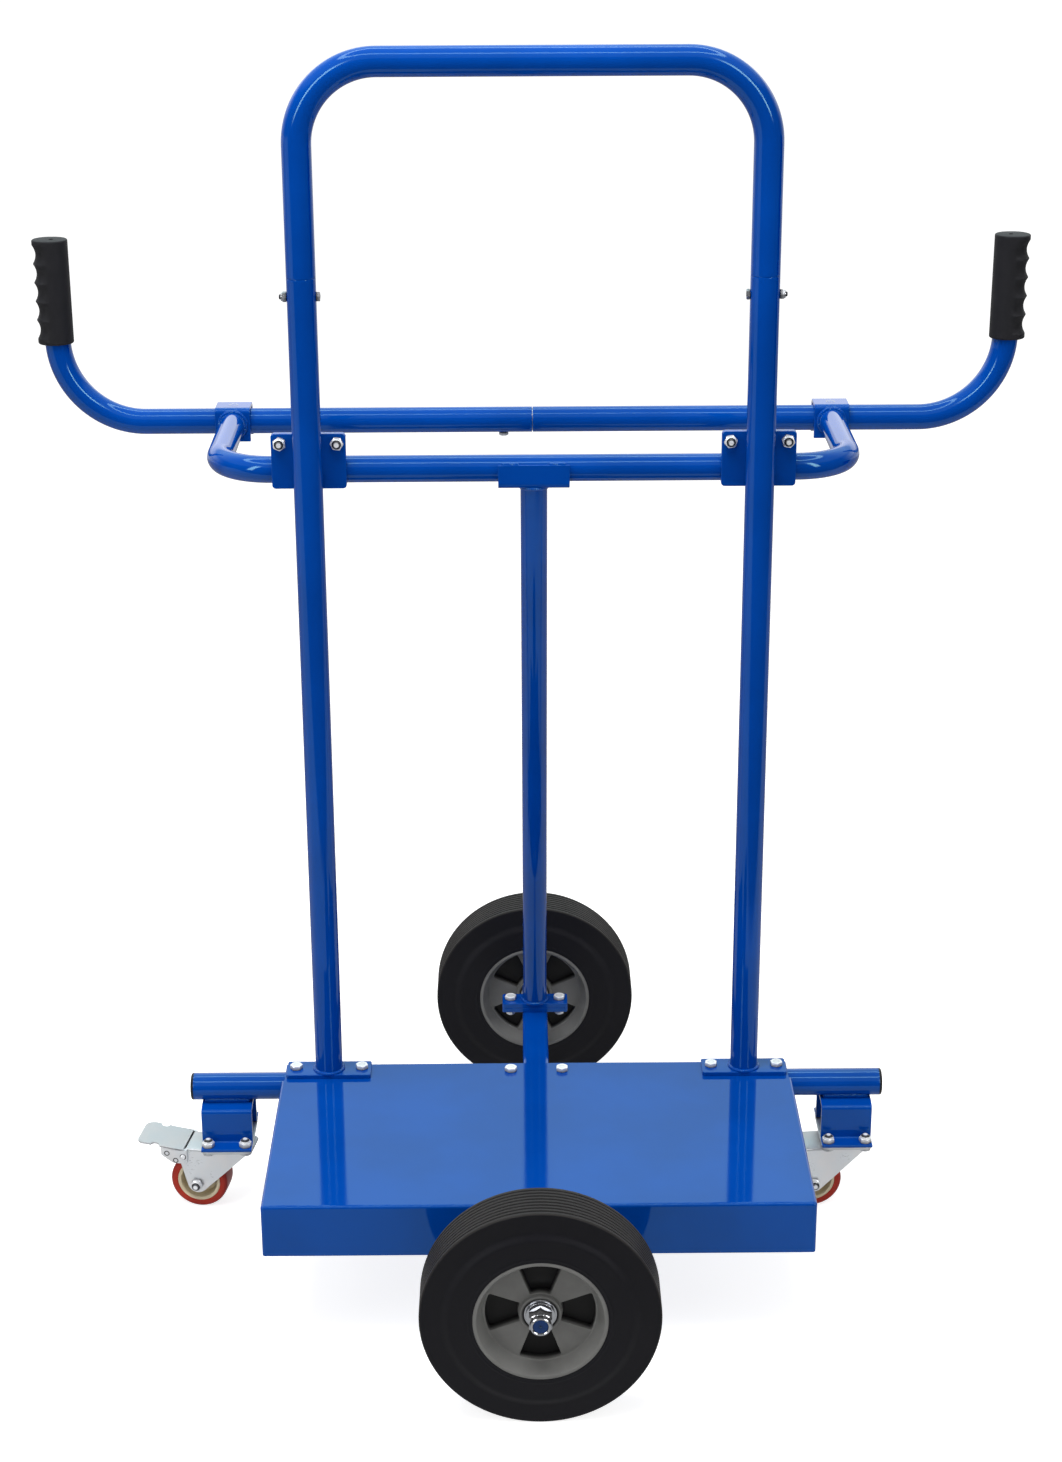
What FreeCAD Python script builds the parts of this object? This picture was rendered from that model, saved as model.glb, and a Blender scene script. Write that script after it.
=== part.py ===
import FreeCAD, Part
import math
import os
from collections import namedtuple

# Door dolly in millimetres. X runs along the way it rolls, Y along the axle, away from the
# viewer, Z up. The origin is on the floor, under the middle of the axle.

V = FreeCAD.Vector
X_AXIS = V(1, 0, 0)
Y_AXIS = V(0, 1, 0)
Z_AXIS = V(0, 0, 1)
SIDES = {"left": -1, "right": 1}
ENDS = {"front": -1, "rear": 1}

# Tubing, plate and fits
tube_d = 32.0
bar_d = 30.0
tube_wall = 2.0
plate_t = 4.0
plate_corner_r = 3.0
weld_gap = 0.1
slip_gap = 0.1
run_gap = 0.05
hole_play = 0.3
overrun = 5.0

# Fasteners
m6_d = 6.0
m6_af = 10.0
m6_head_h = 4.0
m6_nut_h = 6.0
m8_d = 8.0
m8_af = 13.0
m8_head_h = 5.3
m8_nut_h = 8.0
bolt_tip = 2.0
hex_sides = 6

# Road wheels
wheel_d = 254.0
wheel_mid_y = 370.0
tyre_w = 54.0
tyre_shoulder_r = 2.5
tread_groove_w = 2.0
tread_groove_depth = 1.6
tread_groove_pitch = 5.0
tread_grooves_per_side = 4
sidewall_step_d = 194.0
sidewall_rise = 3.4
rim_d = 142.0
rim_lip_w = 4.0
rim_bowl_d = 119.0
rim_bowl_depth = 18.8
rim_core_w = 6.0
hub_boss_d = 44.0
hub_w = 34.0
pocket_count = 4
pocket_inner_half_w = 10.5
pocket_outer_half_w = 21.0
pocket_wall_gap = 1.5
bearing_d = 35.0
bearing_w = 11.0
rear_rim_turn_deg = 45.0

# Axle and spine
axle_d = 16.0
axle_washer_d = 31.0
axle_washer_t = 3.0
axle_nut_af = 24.0
axle_nut_h = 14.0
axle_nut_collar_d = 22.5
axle_nut_collar_h = 6.0
axle_tip_inset = 1.0
spine_w = 32.0
spine_wall = 2.5
spine_corner_r = 4.0
spine_plug_len = 30.0

# Cross tube and deck tray
mast_y = 52.0
cross_overhang = 106.5
cap_flange_t = 3.0
cap_spigot_len = 18.0
cap_wall = 2.0
deck_w = 605.0
deck_t = 2.0
deck_front_y = -253.0
deck_rear_overhang = 2.0
deck_flange_h = 62.0
deck_bend_r = 3.5
deck_side_setback = 6.0
deck_bolt_half_span = 30.5

# Uprights and top hoop
upright_inset = 55.5
upright_len = 946.5
foot_l = 100.0
foot_w = 35.0
foot_t = 5.0
foot_bolt_half_span = 39.0
hoop_rise = 223.5
hoop_bend_r = 85.0
spigot_len = 45.0
spigot_wall = 2.0
spigot_shoulder_t = 3.0
hoop_bolt_drop = 20.5

# Guard rail and its plates
rail_z = 908.0
arm_reach = 106.0
rail_bend_r = 62.0
mast_plate_w = 82.0
mast_plate_h = 62.0
mast_plate_rise = 46.0
rail_bolt_half_span = 31.5
rail_bolt_from_top = 10.5

# Handle bars, saddles and grips
handle_y = 310.0
handle_reach = 202.0
handle_bend_r = 98.0
handle_joint_gap = 0.6
sleeve_len = 130.0
sleeve_wall = 2.0
joint_screw_x = -34.0
saddle_len = 41.0
saddle_gap = 0.3
saddle_leg_drop = 5.5
saddle_screw_inset = 1.2
grip_top_z = 1124.0
grip_len = 121.0
grip_wall = 3.6
grip_end_t = 6.0
grip_swell = 4.0
grip_finger_count = 5
grip_finger_depth = 3.6
grip_lip = 6.0
grip_vent_d = 5.0

# Rear post
post_foot_y = 284.0
post_foot_l = 83.0
post_foot_w = 29.0
post_foot_t = 6.0
post_bolt_half_span = 31.0
cradle_len = 79.0
cradle_wall_h = 27.0

# Caster brackets
caster_inset = 40.0
bracket_len = 60.0
bracket_t = 3.5
bracket_half_w = 27.5
bracket_flange_half_w = 46.0
bracket_top_half_w = 14.0
bracket_shoulder_drop = 3.5

# Swivel casters, sized about the swivel axis with the wheel trailing to -X
caster_h = 95.0
caster_turn_deg = {"left": -9.0, "right": 5.0}
caster_plate_l = 92.0
caster_plate_w = 60.0
caster_plate_t = 3.2
caster_plate_corner_r = 8.0
caster_hole_half_l = 37.5
caster_hole_half_w = 22.0
caster_bolt_head_h = 3.6
race_d = 40.0
race_bore = 26.0
race_t = 5.0
race_seat_d = 46.0
kingpin_d = 12.0
kingpin_head_d = 20.0
kingpin_head_t = 3.0
caster_wheel_d = 70.0
caster_tread_w = 32.0
caster_tread_t = 9.0
caster_tread_edge_r = 4.0
caster_hub_boss_d = 24.0
caster_hub_rim_t = 4.0
caster_hub_web_t = 7.0
caster_bush_d = 12.0
caster_side_play = 0.4
caster_trail = 37.5
fork_t = 2.5
fork_side_gap = 3.5
fork_crown_t = 3.0
fork_crown_clear = 9.0
fork_foot_r = 12.0
fork_front = 24.0
fork_corner_r = 6.0
fork_skirt = 4.0
fork_crown_rear = 52.0

# Brake pedals, in the caster's own frame
pedal_pin_x = -53.0
pedal_pin_drop = 10.0
pedal_pin_d = 6.0
pedal_lug_r = 6.5
pedal_split = 0.5
pedal_t = 2.5
pedal_ear_gap = 0.4
pedal_ear_front = 5.0
pedal_ear_rear = 27.0
pedal_ear_depth = 9.2
pedal_ear_taper_run = 14.0
pedal_ear_taper_rise = 10.0
pedal_flat_end = 56.0
pedal_ramp_run = 44.0
pedal_tab_end = 110.0
pedal_tab_rise = 6.5
pedal_tab_corner_r = 9.0
pedal_notch_d = 10.0
pedal_notch_x = 87.0
brake_bar_d = 5.0
brake_bar_gap = 2.6
brake_bar_angle_deg = 52.0
spring_pin_d = 5.0
spring_pin_back = 19.7
spring_pin_rise = 3.5

# Places worked out from the sizes above
cross_len = deck_w + 2 * cross_overhang
upright_x = deck_w / 2 - upright_inset
arm_x = upright_x + arm_reach
handle_x = arm_x + handle_reach
caster_x = cross_len / 2 - caster_inset
axle_z = wheel_d / 2
spine_top_z = axle_z + spine_w / 2
cross_z = spine_top_z + weld_gap + tube_d / 2
deck_under_z = cross_z + tube_d / 2 + weld_gap
deck_top_z = deck_under_z + deck_t
foot_top_z = deck_top_z + foot_t
hoop_joint_z = foot_top_z + upright_len
deck_rear_y = mast_y + tube_d / 2 + deck_rear_overhang
deck_side_rear_y = mast_y - tube_d / 2 - deck_side_setback
spine_end_y = wheel_mid_y - hub_w / 2 - axle_washer_t - hole_play
mast_plate_y = mast_y + tube_d / 2 + weld_gap
rail_plate_y = mast_plate_y + plate_t
rail_y = rail_plate_y + plate_t + weld_gap + bar_d / 2
saddle_half_d = bar_d / 2 + saddle_gap + plate_t
handle_top_z = grip_top_z - grip_end_t
tube_bore = tube_d - 2 * tube_wall
bar_bore = bar_d - 2 * tube_wall
spine_lug_z = spine_top_z
post_foot_z = spine_lug_z + post_foot_t
cradle_base_z = rail_z - bar_d / 2 - weld_gap - plate_t
caster_plate_z = caster_h - caster_plate_t
crown_z = caster_wheel_d + fork_crown_clear
crown_top_z = crown_z + fork_crown_t
caster_axle_z = caster_wheel_d / 2
fork_in_w = caster_tread_w + 2 * fork_side_gap
fork_out_w = fork_in_w + 2 * fork_t
pedal_pin_z = crown_top_z - pedal_pin_drop
pedal_out_w = fork_out_w + 2 * (pedal_ear_gap + pedal_t)

Fastener = namedtuple("Fastener", "d af head_h nut_h")
M6 = Fastener(m6_d, m6_af, m6_head_h, m6_nut_h)
M8 = Fastener(m8_d, m8_af, m8_head_h, m8_nut_h)
M8_LOW = Fastener(m8_d, m8_af, caster_bolt_head_h, m8_nut_h)


# Basic forms


def cylinder(d, length, base, axis):
    """A round bar from base along axis."""
    return Part.makeCylinder(d / 2, length, base, axis)


def ring(d, bore, length, base, axis):
    """A round bar with a straight bore."""
    return cylinder(d, length, base, axis).cut(cylinder(bore, length, base, axis))


def box(x0, x1, y0, y1, z0, z1):
    """A block between two corners."""
    return Part.makeBox(x1 - x0, y1 - y0, z1 - z0, V(x0, y0, z0))


def prism(points, push):
    """A closed outline of points, pushed along a vector."""
    return Part.Face(Part.makePolygon(points + points[:1])).extrude(push)


def rounded_plate(length, width, t, corner_r, centre):
    """A level plate with rounded corners, its lower face centred on a point."""
    plate = box(-length / 2, length / 2, -width / 2, width / 2, 0, t)
    corners = [e for e in plate.Edges if abs(e.tangentAt(0).dot(Z_AXIS)) == 1]
    plate = plate.makeFillet(corner_r, corners)
    plate.translate(centre)
    return plate


def hex_bar(af, length, base, axis):
    """A hexagonal bar from base along axis."""
    step = math.tau / hex_sides
    corner_r = af / 2 / math.cos(step / 2)
    turns = [step * i for i in range(hex_sides)]
    outline = [V(corner_r * math.cos(a), corner_r * math.sin(a), 0) for a in turns]
    bar = prism(outline, Z_AXIS * length)
    bar.Placement = FreeCAD.Placement(base, FreeCAD.Rotation(Z_AXIS, axis))
    return bar


def revolved(profile, centre, axis):
    """A closed outline of points, turned once about an axis."""
    face = Part.Face(Part.makePolygon(profile + profile[:1]))
    return face.revolve(centre, axis, 360)


def bent_path(points, bend_r):
    """Straight runs through the points, joined by tangent arcs."""
    edges = []
    start = points[0]
    for before, corner, after in zip(points, points[1:], points[2:]):
        into = (corner - before).normalize()
        out = (after - corner).normalize()
        half_turn = into.getAngle(out) / 2
        enter = corner - into * (bend_r * math.tan(half_turn))
        leave = corner + out * (bend_r * math.tan(half_turn))
        inward = (out - into).normalize()
        middle = corner + inward * (bend_r / math.cos(half_turn) - bend_r)
        edges.append(Part.LineSegment(start, enter).toShape())
        edges.append(Part.Arc(enter, middle, leave).toShape())
        start = leave
    edges.append(Part.LineSegment(start, points[-1]).toShape())
    return Part.Wire(edges)


def bent_tube(d, bore, points, bend_r):
    """A round tube along a bent path."""
    path = bent_path(points, bend_r)
    along = points[1] - points[0]
    skins = []
    for skin_d in (d, bore):
        section = Part.Wire(Part.makeCircle(skin_d / 2, points[0], along))
        skins.append(path.makePipeShell([section], True, False))
    return skins[0].cut(skins[1])


def straight_tube(d, bore, start, end):
    """A straight round tube between two points."""
    return ring(d, bore, (end - start).Length, start, end - start)


# Fasteners


def hex_bolt(size, seat, axis, grip):
    """A bolt whose head stands on seat along axis, with a shank through grip and its nut."""
    head = hex_bar(size.af, size.head_h, seat, axis)
    shank_len = grip + size.nut_h + bolt_tip
    return head.fuse(cylinder(size.d, shank_len, seat, axis * -1))


def hex_nut(size, seat, axis):
    """A nut that stands on seat along axis."""
    bore = cylinder(size.d + 2 * run_gap, size.nut_h, seat, axis)
    return hex_bar(size.af, size.nut_h, seat, axis).cut(bore)


def drilled(shape, size, points, axis, length):
    """A shape with clearance holes from the points along axis."""
    for point in points:
        shape = shape.cut(cylinder(size.d + 2 * hole_play, length, point, axis))
    return shape


# Road wheels


def tread_profile():
    """Half of the tyre's tread line, from the middle to the shoulder, as radius and offset."""
    r = wheel_d / 2
    line = []
    first = tyre_w / 2 - tyre_shoulder_r - tread_groove_pitch * tread_grooves_per_side
    for i in range(tread_grooves_per_side):
        start = first + i * tread_groove_pitch
        line.append((r, start))
        line.append((r - tread_groove_depth, start + tread_groove_w / 2))
        line.append((r, start + tread_groove_w))
    return line


def tyre(mid_y):
    """Solid tyre with grooved tread, cut shoulders and a raised band on each sidewall."""
    r = wheel_d / 2
    half = tyre_w / 2
    bead_r = rim_d / 2 + weld_gap
    step_r = sidewall_step_d / 2
    high = half + sidewall_rise
    shoulder_cut = tyre_shoulder_r * (1 - math.sqrt(1 / 2))
    side = tread_profile()
    side.append((r, half - tyre_shoulder_r))
    side.append((r - shoulder_cut, half - shoulder_cut))
    side.append((r - tyre_shoulder_r, half))
    side.append((step_r + sidewall_rise, half))
    side.append((step_r, high))
    side.append((bead_r, high))
    outline = [V(p, mid_y + q, axle_z) for p, q in side]
    outline += [V(p, mid_y - q, axle_z) for p, q in reversed(side)]
    return revolved(outline, V(0, mid_y, axle_z), Y_AXIS)


def pocket(mid_y, turn_deg):
    """One wedge-shaped pocket between two fan panels of a rim."""
    inner = hub_boss_d / 2 + pocket_wall_gap
    outer = rim_bowl_d / 2 - pocket_wall_gap
    corners = [
        V(-pocket_inner_half_w, 0, inner),
        V(pocket_inner_half_w, 0, inner),
        V(pocket_outer_half_w, 0, outer),
        V(-pocket_outer_half_w, 0, outer),
    ]
    wedge = prism(corners, Y_AXIS * tyre_w)
    wedge.translate(V(0, mid_y - tyre_w / 2, axle_z))
    wedge.rotate(V(0, mid_y, axle_z), Y_AXIS, turn_deg)
    return wedge


def rim_shells(mid_y, turn_deg):
    """Two moulded rim halves: lip, sloped bowl, fan panels and hub boss."""
    half = tyre_w / 2 + sidewall_rise
    panel = half - rim_bowl_depth
    core = rim_core_w / 2
    profile = [
        (bearing_d / 2 + run_gap, core),
        (bearing_d / 2 + run_gap, hub_w / 2),
        (hub_boss_d / 2, hub_w / 2),
        (hub_boss_d / 2, panel),
        (rim_bowl_d / 2, panel),
        (rim_d / 2 - rim_lip_w, half),
        (rim_d / 2, half),
        (rim_d / 2, core),
    ]
    shells = []
    for end in ENDS.values():
        outline = [V(r, mid_y + end * q, axle_z) for r, q in profile]
        shell = revolved(outline, V(0, mid_y, axle_z), Y_AXIS)
        for i in range(pocket_count):
            shell = shell.cut(pocket(mid_y, turn_deg + 360 * i / pocket_count))
        shells.append(shell)
    return shells


def rim_core(mid_y):
    """Dark disc between the two rim halves."""
    base = V(0, mid_y - rim_core_w / 2, axle_z)
    return ring(rim_d, bearing_d + 2 * run_gap, rim_core_w, base, Y_AXIS)


def hub_bearings(mid_y):
    """One bearing in each end of the hub, running on the axle."""
    bore = axle_d + 2 * run_gap
    starts = (mid_y - hub_w / 2, mid_y + hub_w / 2 - bearing_w)
    return [ring(bearing_d, bore, bearing_w, V(0, y, axle_z), Y_AXIS) for y in starts]


# Axle and spine


def washer_stack(end, outer):
    """A washer beside a hub: inside, against the spine, or outside, under the nut."""
    hub_face = wheel_mid_y + hub_w / 2 if outer else spine_end_y
    start = hub_face + (hole_play if outer else 0)
    base = V(0, end * start, axle_z)
    bore = axle_d + 2 * run_gap
    return ring(axle_washer_d, bore, axle_washer_t, base, Y_AXIS * end)


def axle_nut(end):
    """Lock nut on an axle end, with a round collar beyond its hexagon."""
    seat = wheel_mid_y + hub_w / 2 + hole_play + axle_washer_t
    base = V(0, end * seat, axle_z)
    out = Y_AXIS * end
    collar = cylinder(axle_nut_collar_d, axle_nut_h + axle_nut_collar_h, base, out)
    nut = hex_bar(axle_nut_af, axle_nut_h, base, out).fuse(collar)
    return nut.cut(cylinder(axle_d + 2 * run_gap, axle_nut_h + axle_nut_collar_h, base, out))


def axle_shaft():
    """Round axle from nut to nut."""
    nut_seat = wheel_mid_y + hub_w / 2 + hole_play + axle_washer_t
    end_y = nut_seat + axle_nut_h + axle_nut_collar_h - axle_tip_inset
    return cylinder(axle_d, 2 * end_y, V(0, -end_y, axle_z), Y_AXIS)


def spine_tube():
    """Square tube with rounded corners along the axle."""
    skins = []
    for w, corner in ((spine_w, spine_corner_r), (spine_w - 2 * spine_wall, spine_corner_r - spine_wall)):
        bar = rounded_plate(w, w, 2 * spine_end_y, corner, V(0, 0, -spine_end_y))
        bar.rotate(V(0, 0, 0), X_AXIS, 90)
        bar.translate(V(0, 0, axle_z))
        skins.append(bar)
    return skins[0].cut(skins[1])


def spine_plugs():
    """Square plugs that hold the axle in the spine's ends."""
    w = spine_w - 2 * spine_wall - 2 * slip_gap
    plugs = []
    for end in ENDS.values():
        plug = rounded_plate(w, w, spine_plug_len, spine_corner_r - spine_wall, V(0, 0, 0))
        plug.rotate(V(0, 0, 0), X_AXIS, -90 * end)
        plug.translate(V(0, end * (spine_end_y - spine_plug_len), axle_z))
        bore = cylinder(axle_d + 2 * run_gap, 2 * spine_end_y, V(0, -spine_end_y, axle_z), Y_AXIS)
        plugs.append(plug.cut(bore))
    return plugs


# Cross tube and deck


def cross_bolt_points():
    """Places of the six bolts along the cross tube, with the height of each bolt's seat."""
    points = []
    for side in SIDES.values():
        points.append(V(side * deck_bolt_half_span, mast_y, deck_top_z))
        for step in (-foot_bolt_half_span, foot_bolt_half_span):
            points.append(V(side * upright_x + step, mast_y, foot_top_z))
    return points


def cross_tube():
    """Round tube across the spine, drilled for the deck and foot bolts."""
    start = V(-cross_len / 2, mast_y, cross_z)
    tube = straight_tube(tube_d, tube_bore, start, V(cross_len / 2, mast_y, cross_z))
    return drilled(tube, M8, cross_bolt_points(), Z_AXIS * -1, foot_top_z)


def cross_caps():
    """Flanged caps plugged into the cross tube's ends."""
    spigot_d = tube_bore - 2 * slip_gap
    caps = []
    for side in SIDES.values():
        base = V(side * cross_len / 2, mast_y, cross_z)
        out = X_AXIS * side
        flange = cylinder(tube_d, cap_flange_t, base, out)
        spigot = ring(spigot_d, spigot_d - 2 * cap_wall, cap_spigot_len, base, out * -1)
        caps.append(flange.fuse(spigot))
    return caps


def tray_block(inset, front_y, rear_y, top_z, low_z, bend_r):
    """A block with rounded front corners and top edges: the tray's outside or its hollow."""
    half = deck_w / 2 - inset
    block = box(-half, half, front_y, rear_y, low_z, top_z)
    folds = []
    for edge in block.Edges:
        middle = edge.CenterOfMass
        on_top = abs(middle.z - top_z) < slip_gap
        at_rear = abs(middle.y - rear_y) < slip_gap
        upright = abs(edge.tangentAt(0).z) == 1
        if not at_rear and (on_top or upright):
            folds.append(edge)
    return block.makeFillet(bend_r, folds)


def deck_tray():
    """Folded tray: load area with three flanges, and a rear strip over the cross tube."""
    low_z = deck_top_z - deck_flange_h
    shell = tray_block(0, deck_front_y, deck_side_rear_y, deck_top_z, low_z, deck_bend_r)
    hollow = tray_block(
        deck_t,
        deck_front_y + deck_t,
        deck_side_rear_y + overrun,
        deck_under_z,
        low_z - overrun,
        deck_bend_r - deck_t,
    )
    notch_half = spine_w / 2 + weld_gap
    notch_y = deck_front_y + deck_bend_r + overrun
    notch = box(-notch_half, notch_half, deck_front_y - overrun, notch_y, 0, spine_top_z + weld_gap)
    tray = shell.cut(hollow).cut(notch)
    half = deck_w / 2 - deck_bend_r
    strip = box(-half, half, deck_side_rear_y, deck_rear_y, deck_under_z, deck_top_z)
    tray = tray.fuse(strip)
    return drilled(tray, M8, cross_bolt_points(), Z_AXIS * -1, foot_t + deck_t + overrun)


# Uprights and hoop


def upright(side):
    """Upright tube on its foot plate, drilled for the hoop's bolt."""
    foot = V(side * upright_x, mast_y, foot_top_z)
    tube = straight_tube(tube_d, tube_bore, foot, V(side * upright_x, mast_y, hoop_joint_z))
    return drilled(tube, M6, [hoop_bolt_start(side)], X_AXIS, 2 * tube_d)


def hoop_bolt_start(side):
    """A point clear of the upright, on the line of the hoop's bolt."""
    return V(side * upright_x - tube_d, mast_y, hoop_joint_z - hoop_bolt_drop)


def foot_plate(side):
    """Foot plate under an upright."""
    centre = V(side * upright_x, mast_y, deck_top_z)
    plate = rounded_plate(foot_l, foot_w, foot_t, plate_corner_r, centre)
    return drilled(plate, M8, cross_bolt_points(), Z_AXIS * -1, foot_t + overrun)


def top_hoop():
    """Bent hoop with reduced ends that plug into the uprights."""
    top_z = hoop_joint_z + hoop_rise
    points = [
        V(-upright_x, mast_y, hoop_joint_z),
        V(-upright_x, mast_y, top_z),
        V(upright_x, mast_y, top_z),
        V(upright_x, mast_y, hoop_joint_z),
    ]
    hoop = bent_tube(tube_d, tube_bore, points, hoop_bend_r)
    spigot_d = tube_bore - 2 * slip_gap
    spigot_bore = spigot_d - 2 * spigot_wall
    for side in SIDES.values():
        joint = V(side * upright_x, mast_y, hoop_joint_z)
        shoulder = ring(tube_d, spigot_bore, spigot_shoulder_t, joint, Z_AXIS)
        reach = spigot_len + spigot_shoulder_t
        spigot = ring(spigot_d, spigot_bore, reach, joint - Z_AXIS * spigot_len, Z_AXIS)
        hoop = hoop.fuse([shoulder, spigot])
        hoop = drilled(hoop, M6, [hoop_bolt_start(side)], X_AXIS, 2 * tube_d)
    return hoop


def hoop_bolts():
    """Bolts through the hoop's joints, with heads towards the middle, and their nuts."""
    bolts = []
    nuts = []
    for side in SIDES.values():
        axis = V(side * upright_x, mast_y, hoop_joint_z - hoop_bolt_drop)
        out = X_AXIS * side
        bolts.append(hex_bolt(M6, axis - out * (tube_d / 2), out * -1, tube_d))
        nuts.append(hex_nut(M6, axis + out * (tube_d / 2), out))
    return bolts, nuts


# Guard rail


def rail_bolt_points():
    """Bolt places on the two pairs of plates, at the face where the plates meet."""
    z = rail_z + mast_plate_rise - rail_bolt_from_top
    steps = (-rail_bolt_half_span, rail_bolt_half_span)
    return [V(side * upright_x + s, rail_plate_y, z) for side in SIDES.values() for s in steps]


def mast_plate(side, start_y):
    """One of the plates that bolt the rail to an upright."""
    plate = rounded_plate(mast_plate_w, mast_plate_h, plate_t, plate_corner_r, V(0, 0, 0))
    plate.rotate(V(0, 0, 0), X_AXIS, -90)
    mid_z = rail_z + mast_plate_rise - mast_plate_h / 2
    plate.translate(V(side * upright_x, start_y, mid_z))
    starts = [p - Y_AXIS * tube_d for p in rail_bolt_points()]
    return drilled(plate, M8, starts, Y_AXIS, 2 * tube_d)


def guard_rail():
    """Front bar with two arms bent back to the handle saddles."""
    arm_end_y = handle_y - saddle_half_d
    points = [
        V(-arm_x, arm_end_y, rail_z),
        V(-arm_x, rail_y, rail_z),
        V(arm_x, rail_y, rail_z),
        V(arm_x, arm_end_y, rail_z),
    ]
    return bent_tube(bar_d, bar_bore, points, rail_bend_r)


# Handle


def handle_saddle(side):
    """Inverted channel over the handle bar, at the end of an arm."""
    inner = saddle_half_d - plate_t
    top = rail_z + bar_d / 2 + saddle_gap
    low = rail_z - bar_d / 2 - saddle_leg_drop
    outline = [
        (-saddle_half_d, low),
        (-saddle_half_d, top + plate_t),
        (saddle_half_d, top + plate_t),
        (saddle_half_d, low),
        (inner, low),
        (inner, top),
        (-inner, top),
        (-inner, low),
    ]
    start_x = side * arm_x - saddle_len / 2
    points = [V(start_x, handle_y + y, z) for y, z in outline]
    saddle = prism(points, X_AXIS * saddle_len)
    hole = V(side * arm_x, handle_y, top - overrun)
    return saddle.cut(cylinder(m8_d + 2 * run_gap, plate_t + 2 * overrun, hole, Z_AXIS))


def saddle_screw(side):
    """Set screw in a saddle's top, down on the handle bar."""
    bar_top = rail_z + bar_d / 2 + weld_gap
    length = saddle_gap + plate_t - weld_gap - saddle_screw_inset
    return cylinder(m8_d, length, V(side * arm_x, handle_y, bar_top), Z_AXIS)


def handle_bar(side):
    """Half of the handle: from the middle joint out, then bent up into the grip."""
    points = [
        V(side * handle_joint_gap / 2, handle_y, rail_z),
        V(side * handle_x, handle_y, rail_z),
        V(side * handle_x, handle_y, handle_top_z),
    ]
    bar = bent_tube(bar_d, bar_bore, points, handle_bend_r)
    screw_start = V(joint_screw_x, handle_y, rail_z)
    return drilled(bar, M6, [screw_start], Z_AXIS * -1, bar_d)


def joint_sleeve():
    """Sleeve inside the two halves of the handle."""
    d = bar_bore - 2 * slip_gap
    start = V(-sleeve_len / 2, handle_y, rail_z)
    sleeve = straight_tube(d, d - 2 * sleeve_wall, start, V(sleeve_len / 2, handle_y, rail_z))
    return drilled(sleeve, M6, [V(joint_screw_x, handle_y, rail_z)], Z_AXIS * -1, bar_d)


def joint_screw():
    """Screw up through the handle bar into the sleeve."""
    seat = V(joint_screw_x, handle_y, rail_z - bar_d / 2)
    head = hex_bar(m6_af, m6_head_h, seat, Z_AXIS * -1)
    shank_len = tube_wall + slip_gap + sleeve_wall + bolt_tip
    return head.fuse(cylinder(m6_d, shank_len, seat, Z_AXIS))


def grip(side):
    """Closed rubber grip: round towards the middle, with finger scallops outside."""
    r = bar_d / 2 + slip_gap + grip_wall
    out = r + grip_swell
    low = grip_top_z - grip_len
    pitch = (grip_len - 2 * grip_lip) / grip_finger_count
    ridges = [grip_top_z - grip_lip - i * pitch for i in range(grip_finger_count + 1)]

    def at(u, z):
        return V(side * (handle_x + u), handle_y - out, z)

    corners = [at(out, ridges[-1]), at(out, low), at(-out, low), at(-out, grip_top_z)]
    corners += [at(out, grip_top_z), at(out, ridges[0])]
    edges = [Part.LineSegment(a, b).toShape() for a, b in zip(corners, corners[1:])]
    for upper, lower in zip(ridges, ridges[1:]):
        hollow = at(out - grip_finger_depth, (upper + lower) / 2)
        edges.append(Part.Arc(at(out, upper), hollow, at(out, lower)).toShape())
    slab = Part.Face(Part.Wire(edges)).extrude(Y_AXIS * (2 * out))
    middle = V(side * handle_x, handle_y, low)
    swell = V(side * grip_swell, 0, 0)
    body = cylinder(2 * r, grip_len, middle, Z_AXIS).fuse(cylinder(2 * r, grip_len, middle + swell, Z_AXIS))
    flank_x = sorted((side * handle_x, side * (handle_x + grip_swell)))
    flank = box(flank_x[0], flank_x[1], handle_y - r, handle_y + r, low, grip_top_z)
    body = body.fuse(flank).common(slab)
    bore = cylinder(bar_d + 2 * slip_gap, handle_top_z - low, middle, Z_AXIS)
    vent = cylinder(grip_vent_d, grip_len, middle, Z_AXIS)
    return body.cut(bore).cut(vent)


# Rear post


def rear_post():
    """Slanted round tube from the spine's foot plate up to the cradle, cut level at both ends."""
    foot_z = post_foot_z + post_foot_t
    foot = V(0, post_foot_y, foot_z)
    head = V(0, rail_y, cradle_base_z)
    along = (head - foot).normalize()
    tube = straight_tube(bar_d, bar_bore, foot - along * bar_d, head + along * bar_d)
    return tube.common(box(-bar_d, bar_d, 0, 2 * post_foot_y, foot_z, cradle_base_z))


def post_cradle():
    """Channel under the guard rail, on the post's head."""
    inner = bar_d / 2 + weld_gap
    outer = inner + plate_t
    top = cradle_base_z + cradle_wall_h
    floor = cradle_base_z + plate_t
    outline = [
        (-outer, cradle_base_z),
        (outer, cradle_base_z),
        (outer, top),
        (inner, top),
        (inner, floor),
        (-inner, floor),
        (-inner, top),
        (-outer, top),
    ]
    points = [V(-cradle_len / 2, rail_y + y, z) for y, z in outline]
    return prism(points, X_AXIS * cradle_len)


def post_bolt_points(z):
    """The two bolt places at the post's foot, at a height."""
    return [V(side * post_bolt_half_span, post_foot_y, z) for side in SIDES.values()]


def post_plate(z):
    """Foot plate of the post, or the lug plate under it."""
    plate = rounded_plate(post_foot_l, post_foot_w, post_foot_t, plate_corner_r, V(0, post_foot_y, z))
    return drilled(plate, M8, post_bolt_points(z - overrun), Z_AXIS, post_foot_t + 2 * overrun)


# Caster brackets and plates


def caster_bolt_points(z):
    """The eight caster bolt places, at a height."""
    return [
        V(side * caster_x + i * caster_hole_half_w, mast_y + j * caster_hole_half_l, z)
        for side in SIDES.values()
        for i in (-1, 1)
        for j in (-1, 1)
    ]


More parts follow.
